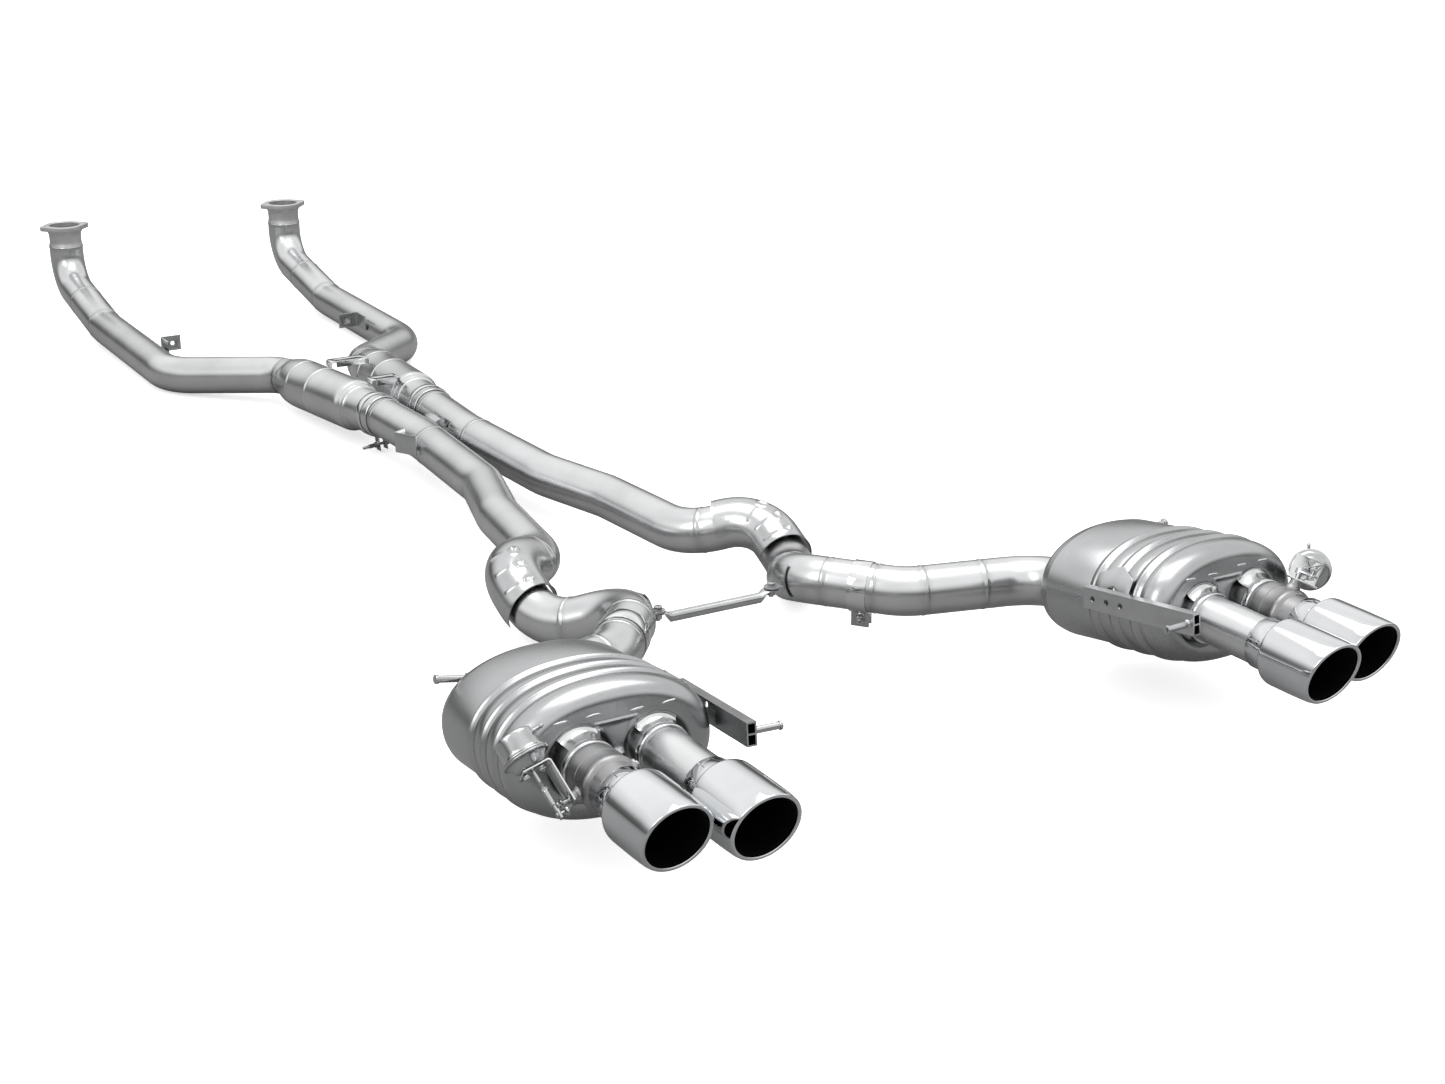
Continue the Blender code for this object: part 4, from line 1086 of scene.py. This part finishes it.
def muffler_hanger():
    """Channel rail along the inner flank that ends in a box section with a pin pointing inwards."""
    start, end = HANGER_FRONT, HANGER_END
    along = (end - start).normalized()
    side = Z.cross(along).normalized()
    up = along.cross(side)
    turn = Matrix((side, along, up)).transposed()
    length = (end - start).length
    middle = (start + end) / 2
    rail = block("muffler_hanger", middle, (RAIL_DEEP, length, RAIL_TALL), turn)
    hollow = middle - along * 0.001 + side * 0.002
    carve(rail, block("tool", hollow, (RAIL_DEEP - 0.0005, length + 0.01, RAIL_TALL - 0.004), turn))
    web = end - along * (BOX_LENGTH / 2)
    cells = block("tool", web, (RAIL_DEEP, BOX_LENGTH, RAIL_TALL), turn)
    for shift in (-0.0075, 0.0075):
        carve(cells, block("tool", web + up * shift, (0.010, BOX_LENGTH + 0.03, 0.0125), turn))
    join(rail, cells)
    for reach in (0.018, 0.046, 0.074):
        hole = start + along * reach
        carve(rail, rod("tool", hole - side * 0.02, hole, 0.0045))
    soften(rail, 0.0007, 2)
    pin = end - along * 0.012 - side * 0.0065
    tip_end = pin - side * 0.0410
    join(rail, pin_rod("tool", pin + side * 0.0005, tip_end, HANGER_PIN_R))
    join(rail, pin_rod("tool", pin - side * 0.0370, tip_end, 0.0062))
    fillet = [(0, 0.0070), (0.002, 0.0062), (0.003, HANGER_PIN_R)]
    return join(rail, turned("tool", pin, -side, fillet, sides=32))


def hanger_pad():
    """Sheet pad welded to the shell's inner flank above the rail, narrower towards its ends."""
    sides, step, most = 720, 3, 24
    rows = []
    for mark in (-0.004, 0.008, 0.020, 0.032, 0.044, 0.056, 0.066):
        taper = 0.14 * abs(mark - 0.031) / 0.035
        first, last = round((0.395 + taper * 0.2) * sides), round((0.487 - taper * 0.05) * sides)
        rises = (0.0050, 0.0036)
        skin, under = (muffler_loop(mark, -rise, sides)[first:last:step][:most] for rise in rises)
        rows.append(skin + under[::-1])
    count = min(len(row) // 2 for row in rows)
    rows = [row[:count] + row[-count:] for row in rows]
    return soften(loft("hanger_pad", rows), 0.0004, 2, 50)


def front_pin():
    """Bent hanger pin on the upper outer corner of the muffler's front face."""
    axis = MUFFLER_AXIS
    foot = in_muffler(-(MUFFLER_LENGTH / 2 + SEAM_GAP), 0.084, 0.052)
    turn = Matrix((MUFFLER_U, axis, MUFFLER_V)).transposed()
    pin = soften(block("front_hanger_pin", foot - axis * 0.0015, (0.026, 0.003, 0.026), turn), 0.0006, 2)
    elbow = foot - axis * 0.014
    end = Vector((FRONT_PIN_END_X, elbow.y, elbow.z + 0.010))
    join(pin, bar("tool", [foot - axis * 0.001, elbow, end], [0.010], FRONT_PIN_R))
    way = (end - elbow).normalized()
    return join(pin, pin_rod("tool", end - way * 0.005, end + way * 0.0005, 0.0064))


def muffler():
    for piece in (muffler_shell, muffler_front_cap, muffler_rear_cap):
        pair(piece(), "blasted")
    for index, name in enumerate(("outer_saddle", "inner_saddle")):
        pair(outlet_saddle(name, index), "bright", stands_for=False)
    for bead in weld_marks():
        pair(bead, "bright", stands_for=False)
    pair(muffler_hanger(), "rail")
    pair(hanger_pad(), "rail", stands_for=False)
    pair(front_pin(), "zinc")


# ---------------------------------------------------------------- outlets and tips


def tip_marks(rim_y):
    """Front end of a tip's collar, and where the collar steps up to the sleeve."""
    back = rim_y + TIP_SLEEVE + TIP_COLLAR
    return back, back - TIP_COLLAR


def slashed(name, x, z, rows, sides):
    """Ring-shaped skin through rows of (y, radius, slash); slash leans a row back with its height."""
    loops = []
    for y, radius, slash in rows:
        points = circle(Vector((x, y, z)), X, Z, radius, sides)
        loops.append([p + Vector((0, -slash * (p.z - z), 0)) for p in points])
    return loft(name, loops, ring=True)


def notch(body, x, y, z, radius, clock, size):
    """Cuts a block out of a round wall, at a clock angle in degrees."""
    way = Vector((cos(radians(clock)), 0, sin(radians(clock))))
    turn = Matrix((way.cross(Y), Y, way)).transposed()
    carve(body, block("tool", Vector((x, y, z)) + way * radius, size, turn))


def tip(name, x, z, rim_y):
    """Slash-cut tip: slotted collar, polished sleeve and rolled rim."""
    back, neck = tip_marks(rim_y)
    bore = OUTLET_R + SLIP_FIT
    collar_r = bore + 0.0020
    shoulder = [
        (neck + 0.010, collar_r),
        (neck + 0.0035, collar_r + 0.0003),
        (neck + 0.0008, collar_r + 0.0050),
        (neck, TIP_R - 0.0025),
        (neck - 0.0030, TIP_R - 0.0002),
        (neck - 0.010, TIP_R),
    ]
    rows = [(back, collar_r - 0.0006, 0), (back - 0.0008, collar_r, 0)]
    rows += [(y, r, 0) for y, r in rounded(shoulder, 2)]
    # the slash grows from nothing at the collar to its full lean at the rim
    for reach, drop, share in ((0.045, 0.0002, 0.5), (0.020, 0.0007, 0.8), (0.010, 0.0011, 0.92)):
        rows.append((rim_y + reach, TIP_R - drop, TIP_SLASH * share))
    middle, half = (TIP_RIM_R + TIP_OPENING_R) / 2, (TIP_RIM_R - TIP_OPENING_R) / 2
    roll, steps = 0.0032, 12
    for k in range(steps + 1):
        a = pi * k / steps
        rows.append((rim_y + roll - roll * sin(a), middle + half * cos(a), TIP_SLASH))
    throat_r = TIP_OPENING_R + 0.0006
    rows += [(rim_y + 0.008, throat_r, TIP_SLASH), (rim_y + 0.030, throat_r, TIP_SLASH * 0.5)]
    rows += [(neck - 0.004, TIP_OPENING_R, 0), (neck + 0.004, bore, 0), (back, bore, 0)]
    sleeve = slashed(name, x, z, rows, 128)
    for clock in (65, 155, 245, 335):
        notch(sleeve, x, back - 0.007, z, collar_r, clock, (0.0016, 0.020, 0.012))
    return sleeve


def throat_lining(name, x, z, rim_y):
    """Near-black lining inside the tip, which paints the shade deep in its throat."""
    _, neck = tip_marks(rim_y)
    mouth_r, pipe_r = TIP_OPENING_R - 0.0002, OUTLET_R - 0.0024
    lining = [(rim_y + 0.0065, mouth_r, TIP_SLASH), (rim_y + 0.030, mouth_r, TIP_SLASH * 0.5)]
    lining.append((neck - 0.004, TIP_OPENING_R - 0.0006, 0))
    lining += [(neck + s, pipe_r, 0) for s in (0.006, 0.030)]
    inside = [(y, r - 0.0004, slash) for y, r, slash in reversed(lining)]
    return slashed(name, x, z, lining + inside, 96)


def collar_ring(name, x, z, y):
    """Bright ring round an outlet where it leaves the muffler, with short slots."""
    length, low, high = 0.012, OUTLET_R + 0.0022, OUTLET_R + 0.0034
    outer = rounded([(0, low), (0.0015, high), (0.0105, high), (length, low)], 2)
    inner = [(s, OUTLET_R + SEAM_GAP) for s in (0, length)]
    ring = turned(name, Vector((x, y, z)), REARWARD, outer, inner, 96)
    for clock in range(20, 380, 45):
        notch(ring, x, y - 0.0075, z, OUTLET_R + 0.003, clock, (0.0085, 0.0022, 0.010))
    return ring


def outlets():
    length = OUTLET_START - (INNER_TIP_Y + TIP_SLEEVE + 0.006)
    outer = [(0, OUTLET_R), (length - 0.0005, OUTLET_R), (length, OUTLET_R - 0.0005)]
    inner = [(s, OUTLET_R - WALL) for s in (0, length)]
    origin = Vector((INNER_X, OUTLET_START, INNER_Z))
    pair(turned("outlet_pipe", origin, REARWARD, outer, inner, 96), "satin")
    ends = (("inner", INNER_X, INNER_Z, INNER_TIP_Y), ("outer", OUTER_X, OUTER_Z, OUTER_TIP_Y))
    for name, x, z, rim_y in ends:
        pair(collar_ring(f"{name}_collar", x, z, REAR_FACE_Y - 0.012), "bright", stands_for=False)
        pair(tip(f"tip_{name}", x, z, rim_y), "chrome", sharp=50)
        # The near-black lining inside each tip is painted shade
        pair(throat_lining(f"{name}_throat", x, z, rim_y), "throat_shade", stands_for=False)


# ---------------------------------------------------------------- exhaust valve


def valve_axes(side_name, side):
    """Shaft, rod and lever directions in the right-hand frame; each side has its own clock angle."""
    clock = VALVE_CLOCK[side_name]
    shaft = Vector((cos(clock) * side, 0, sin(clock)))
    sideways = Vector((-sin(clock) * side, 0, cos(clock)))
    reach = REARWARD * cos(ROD_LEAN) + sideways * sin(ROD_LEAN)
    lever = REARWARD * sin(ROD_LEAN) - sideways * cos(ROD_LEAN)
    return shaft, reach, lever


def valve_body(centre, shaft):
    """Outlet pipe with a cast housing round it, and a boss for each end of the shaft."""
    length = OUTLET_START - (OUTER_TIP_Y + TIP_SLEEVE + 0.006)
    front = OUTLET_START - VALVE_Y - 0.030

    def rows(*steps):
        return [(front + s, OUTLET_R + rise) for s, rise in steps]

    cast = rows((-0.002, 0), (0.001, 0.0026), (0.004, 0.0030), (0.020, 0.0032))
    groove = rows((0.0210, 0.0022), (0.0220, 0.0032))
    flare = rows((0.040, 0.0032), (0.043, 0.0046), (0.048, 0.0046), (0.051, 0.0026), (0.054, 0))
    outer = [(0, OUTLET_R), *rows((-0.004, 0)), *rounded(cast, 2), *groove, *rounded(flare, 2)]
    outer.append((length, OUTLET_R))
    bore = OUTLET_R - WALL
    origin = Vector((OUTER_X, OUTLET_START, OUTER_Z))
    housing = turned("valve_body", origin, REARWARD, outer, [(0, bore), (length, bore)], 96)
    for way, tall in ((1, MOUNT_PLANE - OUTLET_R - 0.0014), (-1, 0.0085)):
        root = centre + shaft * (way * (bore + 0.001))
        height = OUTLET_R + tall - bore - 0.001
        boss = rounded([(0, 0.0125), (height * 0.35, 0.0112), (height * 0.5, 0.0088), (height, 0.0082)], 2)
        join(housing, turned("tool", root, shaft * way, boss, sides=40))
    return carve(housing, rod("tool", centre - shaft * 0.06, centre + shaft * 0.06, SHAFT_R + 0.0003))


def valve_flap(centre, shaft, reach, lever, side):
    """Butterfly on its shaft, with a slotted lever that points half the travel away from square."""
    swing = Matrix.Rotation(-side * VALVE_TRAVEL / 2, 3, shaft)
    rest = swing @ lever
    if rest.dot(reach) < 0:
        rest = swing.inverted() @ lever
    flat = rest.cross(shaft).normalized()
    low, high = centre - shaft * (OUTLET_R + 0.012), centre + shaft * (LEVER_PLANE + 0.004)
    butterfly = pin_rod("valve_flap", low, high, SHAFT_R)
    disc = REARWARD.cross(shaft).normalized() * 0.0013
    join(butterfly, rod("tool", centre - disc, centre + disc, OUTLET_R - WALL - 0.0012, 72))
    hub = [(0, 0.0068), (0.001, 0.0075), (0.007, 0.0075), (0.008, 0.0068)]
    join(butterfly, turned("tool", centre + shaft * (LEVER_PLANE - 0.0045), shaft, hub, sides=40))
    plane = centre + shaft * LEVER_PLANE
    steps = 16
    arm = []
    for i in range(steps + 1):
        a = pi * i / steps
        arm.append(plane + rest * (0.0225 + 0.0064 * sin(a)) + flat * (0.0066 * cos(a)))
    arm += [plane - flat * 0.0074, plane + flat * 0.0074]
    join(butterfly, soften(plate("tool", arm, shaft, LEVER_THICK), 0.0004, 2))
    turn = Matrix((flat, shaft, rest)).transposed()
    return carve(butterfly, block("tool", plane + rest * 0.0183, (0.0064, 0.01, 0.0125), turn))


def actuator(crimp, shaft, reach, lever, side):
    """Crimped vacuum can with a bore for its rod, two studs with nuts, and a hose nipple."""
    can = [(0, 0.001), *rounded([*CAN_NOSE, *CAN_CRIMP, *CAN_BACK], 2)]
    nose = crimp + reach * ACTUATOR_NOSE
    unit = turned("actuator", nose, -reach, can, sides=96)
    # hollowed before anything is joined on, because a later cut can fail without a message
    carve(unit, rod("tool", crimp + reach * 0.002, crimp - reach * 0.0285, CAN_BORE_R, 64))
    carve(unit, rod("tool", crimp + reach * 0.02, crimp - reach * 0.010, 0.0036))
    studs = []
    for way in (-1, 1):
        offset = (shaft * cos(STUD_CLOCK) - lever * sin(STUD_CLOCK)) * (way * STUD_OFFSET)
        root = crimp + offset + reach * (ACTUATOR_NOSE - 0.004)
        studs.append(root)
        join(unit, thread("tool", root, root + reach * 0.0150, STUD_R))
        join(unit, turned("tool", root + reach * 0.0081, reach, [(0, 0.0046), (0.0012, 0.0044)], sides=32))
        join(unit, hexagon("tool", root + reach * 0.0090, reach, 0.0036, 0.0075))
    way = (shaft * 0.91 - lever * 0.41) * side
    nipple = [(0, 0.0034), (0.003, 0.0034), (0.004, 0.0026)]
    nipple += [(0.0105, 0.0024), (0.0115, 0.0030), (0.015, 0.0021)]
    join(unit, turned("tool", crimp - reach * 0.022 + way * 0.0245, way, nipple, sides=32))
    return unit, studs


def actuator_rod(pin, crimp, shaft, reach):
    """Rod with thread, lock nut and turnbuckle, and a clevis whose pin runs in the lever's slot."""
    link = rod("actuator_rod", pin - reach * 0.003, crimp + reach * 0.003, ROD_R)
    join(link, thread("tool", pin - reach * 0.046, pin - reach * 0.033, 0.0029))
    join(link, hexagon("tool", pin - reach * 0.0365, reach, 0.0030, 0.0078))
    barrel = rounded([(0, 0.0034), (0.001, 0.0042), (0.021, 0.0042), (0.022, 0.0034)], 2)
    join(link, turned("tool", pin - reach * 0.034, reach, barrel, sides=40))
    head = block("tool", pin, (0.010, 0.0040, 0.013), Matrix((reach.cross(shaft), shaft, reach)).transposed())
    join(link, soften(head, 0.0012, 3))
    join(link, pin_rod("tool", pin + shaft * 0.0040, pin - shaft * (ROD_OFFSET + 0.0035), 0.0021, 0.0004))
    return join(link, pin_rod("tool", pin + shaft * 0.0018, pin + shaft * 0.0042, 0.0036, 0.0006))


def actuator_bracket(centre, crimp, shaft, reach, lever, studs):
    """Folded sheet from the shaft's boss to the actuator's nose, with holes for shaft, rod and studs."""
    stand = crimp + reach * (ACTUATOR_NOSE + 0.0018) - lever * 0.0065
    fold = stand - shaft * (LEVER_PLANE + ROD_OFFSET - MOUNT_PLANE)
    height = (crimp - centre).dot(reach) + ACTUATOR_NOSE + 0.0018
    corners = [stand + shaft * 0.0150, fold, fold + reach * (0.0090 - height)]
    mount = folded_tab("actuator_bracket", corners, MOUNT_THICK, lever * 0.042, 0.0035)
    for root in (*studs, crimp + reach * 0.010):
        carve(mount, rod("tool", root, root + reach * 0.02, 0.0034 if root in studs else 0.0045))
    carve(mount, rod("tool", centre, centre + shaft * 0.055, SHAFT_R + 0.0008))
    return soften(mount, 0.0004, 2)


def valve_unit(side_name, side):
    shaft, reach, lever = valve_axes(side_name, side)
    centre = Vector((OUTER_X, VALVE_Y, OUTER_Z))
    foot = centre + lever * LEVER_ARM + shaft * (LEVER_PLANE + ROD_OFFSET)
    pin = foot + reach * (LEVER_ARM * tan(VALVE_TRAVEL / 2))
    crimp = pin - reach * CRIMP_DISTANCE
    unit, studs = actuator(crimp, shaft, reach, lever, side)
    mount = actuator_bracket(centre, crimp, shaft, reach, lever, studs)
    for piece, look, body in (
        (valve_body(centre, shaft), "cast", "system"),
        (valve_flap(centre, shaft, reach, lever, side), "zinc", f"valve_{side_name}"),
        (unit, "zinc", "system"),
        (actuator_rod(pin, crimp, shaft, reach), "zinc", f"rod_{side_name}"),
        (mount, "bright", "system"),
    ):
        name = f"{piece.name}_{side_name}"
        single(flipped(piece) if side < 0 else piece, name, look, body)


# ---------------------------------------------------------------- ties


def tie_rod():
    """Round tube flattened into a raised bolt eye at each end."""
    reach, y, z = TIE_EYE
    flat = 0.0020
    # x, half width, half height and how far the section is lifted
    key = [
        (reach + 0.0120, 0.0030, flat * 0.9, 0),
        (reach + 0.0110, 0.0062, flat, 0),
        (reach + 0.0080, 0.0088, flat, 0),
        (reach + 0.0040, 0.0105, flat, 0),
        (reach - 0.0100, 0.0105, flat, 0),
        (reach - 0.0140, 0.0104, 0.0034, -TIE_TUBE_DROP * 0.25),
        (reach - 0.0180, 0.0098, 0.0062, -TIE_TUBE_DROP * 0.72),
        (reach - 0.0220, 0.0090, TIE_TUBE_R, -TIE_TUBE_DROP),
        (reach - 0.0240, TIE_TUBE_R, TIE_TUBE_R, -TIE_TUBE_DROP),
    ]
    stations = [(-x, *size) for x, *size in key] + key[::-1]
    loops = [oval(Vector((x, y, z + lift)), Y, Z, wide, tall, 2.1, 48) for x, wide, tall, lift in stations]
    body = loft("tie_rod", loops)
    for way in (-1, 1):
        carve(body, bolt_hole(Vector((way * reach, y, z)), TIE_HOLE_R))
    single(body, "tie_rod", "rail")


def tie_bolt():
    eye = TIE_EYE
    bolt = thread("tie_rod_bolt", eye - Z * 0.012, eye + Z * 0.009, 0.0040)
    join(bolt, turned("tool", eye + Z * 0.0060, Z, [(0, 0.0090), (0.0012, 0.0088)], sides=40))
    join(bolt, hexagon("tool", eye + Z * 0.0071, Z, 0.0048, 0.013))
    join(bolt, hexagon("tool", eye - Z * 0.0085, Z, 0.0060, 0.013))
    pair(soften(bolt, 0.0003, 2, 50), "zinc", sharp=40)


def resonator_tie(name, y, z, half):
    """Bridge between the two resonators: top plate with two holes, a leg to each, and a lip behind."""
    deep, thick = 0.032, 0.0022
    middle = y + deep / 2
    feet = []
    for edge in (y, y + deep):
        point, _ = LINE.place(LINE.near(edge))
        aside = point.x - half - thick / 2
        feet.append(point.z + sqrt((RESONATOR_R + 0.0006) ** 2 - aside**2))
    foot = max(feet)
    profile = [(-half, middle, foot), (-half, middle, z), (half, middle, z), (half, middle, foot)]
    body = folded_tab(name, profile, thick, Vector((0, deep, 0)), 0.003)
    join(body, block("tool", (0, y - 0.0002, z - 0.0045), (2 * half - 0.020, thick, 0.0135)))
    for way in (-1, 1):
        carve(body, bolt_hole(Vector((way * half * 0.55, middle, z)), 0.0035))
    single(soften(body, 0.0007, 3), name, "bright")


# ---------------------------------------------------------------- build

front_run()
middle_run()
muffler()
outlets()
for run_name, run_side in (("left", -1), ("right", 1)):
    valve_unit(run_name, run_side)
tie_rod()
tie_bolt()
for tie_name, tie_y, tie_z, tie_half in RESONATOR_TIES:
    resonator_tie(tie_name, tie_y, tie_z, tie_half)


# ---------------------------------------------------------------- studio


FLOOR_REACH = 40
FLOOR_SEEN = (0.93, 0.95)
FLOOR_REFLECTED = 0.28
FLOOR_GLOW = 0.58

# Brightness of the surroundings by height, from below at 0 to overhead at 1. The horizon is
# dark ahead and behind, which gives the tubes their dark bands
SKY_ENDS = ((0.0, 0.50), (0.49, 0.30), (0.52, 0.08), (0.58, 0.12), (0.65, 0.75), (0.76, 1.20), (1.0, 1.30))
SKY_SIDES = ((0.0, 0.50), (0.49, 0.30), (0.54, 0.22), (0.60, 0.60), (0.68, 1.10), (0.85, 0.95), (1.0, 1.30))

# Name, place, aim, size and power
LIGHTS = (
    ("softbox_over", (0.2, -0.4, 3.2), (0.1, -0.2, 0.0), (2.2, 2.8), 40.0),
    ("softbox_side", (-3.2, -1.2, 2.4), (0.0, -0.6, 0.0), (1.4, 2.0), 22.0),
)

CAMERA_PLACE = Vector((-1.700, -3.806, 1.370))
CAMERA_YAW = radians(30.67)
CAMERA_PITCH = radians(19.40)
CAMERA_LENS = 56.36
SENSOR_WIDTH = 36.0


def grey(level):
    return (level, level, level)


def tone_ramp(tree, height, stops):
    ramp = node(tree, "ShaderNodeValToRGB")
    elements = ramp.color_ramp.elements
    elements.remove(elements[1])
    for i, (at, level) in enumerate(stops):
        stop = elements.new(at) if i else elements[0]
        stop.position = at
        stop.color = (*grey(level), 1)
    tree.links.new(height, ramp.inputs["Fac"])
    return ramp.outputs["Color"]


def studio_floor():
    """Pale paper, brighter to the camera than to reflections, so that the metal keeps dark undersides."""
    far = FLOOR_REACH
    mesh = bpy.data.meshes.new("studio_floor")
    mesh.from_pydata([(-far, -far, 0), (far, -far, 0), (far, far, 0), (-far, far, 0)], [], [(0, 1, 2, 3)])
    floor = bpy.data.objects.new("studio_floor", mesh)
    bpy.context.scene.collection.objects.link(floor)
    paper = bpy.data.materials.new("studio_paper")
    paper.use_nodes = True
    tree = paper.node_tree
    shader = tree.nodes["Principled BSDF"]
    place = node(tree, "ShaderNodeTexCoord").outputs["Object"]
    seen = node(tree, "ShaderNodeLightPath").outputs["Is Camera Ray"]
    paper_tone = blend_colour(tree, noise(tree, place, 0.6, 2.0), *map(grey, FLOOR_SEEN))
    tree.links.new(blend_colour(tree, seen, grey(FLOOR_REFLECTED), paper_tone), shader.inputs["Base Color"])
    tree.links.new(span(tree, seen, 0.0, 1.0, 0.0, FLOOR_GLOW), shader.inputs["Emission Strength"])
    shader.inputs["Emission Color"].default_value = (1, 1, 1, 1)
    shader.inputs["Roughness"].default_value = 0.9
    shader.inputs["Specular IOR Level"].default_value = 0.0
    mesh.materials.append(paper)


def studio_sky():
    """White to the camera; to everything else, bright above with a darker horizon at each end."""
    world = bpy.data.worlds.new("studio")
    bpy.context.scene.world = world
    world.use_nodes = True
    tree = world.node_tree
    tree.nodes.clear()
    direction = node(tree, "ShaderNodeTexCoord").outputs["Generated"]
    split = node(tree, "ShaderNodeSeparateXYZ")
    tree.links.new(direction, split.inputs["Vector"])
    height = span(tree, split.outputs["Z"], -1.0, 1.0, 0.0, 1.0)
    along = node(tree, "ShaderNodeMath", operation="ABSOLUTE")
    tree.links.new(split.outputs["Y"], along.inputs[0])
    share = span(tree, along.outputs[0], 0.45, 0.85, 0.0, 1.0)
    sky = blend_colour(tree, share, tone_ramp(tree, height, SKY_SIDES), tone_ramp(tree, height, SKY_ENDS))
    seen = node(tree, "ShaderNodeBackground")
    seen.inputs["Color"].default_value = (1, 1, 1, 1)
    seen.inputs["Strength"].default_value = 1.0
    glow = node(tree, "ShaderNodeBackground")
    tree.links.new(sky, glow.inputs["Color"])
    rays = node(tree, "ShaderNodeLightPath")
    mix = node(tree, "ShaderNodeMixShader")
    tree.links.new(rays.outputs["Is Camera Ray"], mix.inputs["Fac"])
    tree.links.new(glow.outputs["Background"], mix.inputs[1])
    tree.links.new(seen.outputs["Background"], mix.inputs[2])
    out = node(tree, "ShaderNodeOutputWorld")
    tree.links.new(mix.outputs["Shader"], out.inputs["Surface"])


def studio():
    scene = bpy.context.scene
    scene.view_settings.view_transform = "Standard"
    studio_floor()
    studio_sky()
    for name, at, aim, size, power in LIGHTS:
        light = bpy.data.lights.new(name, "AREA")
        light.shape = "RECTANGLE"
        light.size, light.size_y = size
        light.energy = power
        lamp = bpy.data.objects.new(name, light)
        lamp.location = at
        lamp.rotation_euler = (Vector(aim) - Vector(at)).to_track_quat("-Z", "Y").to_euler()
        scene.collection.objects.link(lamp)


def camera():
    """The photograph's own viewpoint and lens."""
    lens = bpy.data.cameras.new("view")
    lens.sensor_fit = "HORIZONTAL"
    lens.sensor_width = SENSOR_WIDTH
    lens.lens = CAMERA_LENS
    lens.clip_start = 0.05
    lens.clip_end = 200
    eye = bpy.data.objects.new("view", lens)
    level = cos(CAMERA_PITCH)
    ahead = Vector((sin(CAMERA_YAW) * level, cos(CAMERA_YAW) * level, -sin(CAMERA_PITCH)))
    eye.location = CAMERA_PLACE + Z * LIFT
    eye.rotation_euler = ahead.to_track_quat("-Z", "Y").to_euler()
    bpy.context.scene.collection.objects.link(eye)
    bpy.context.scene.camera = eye


studio()
camera()
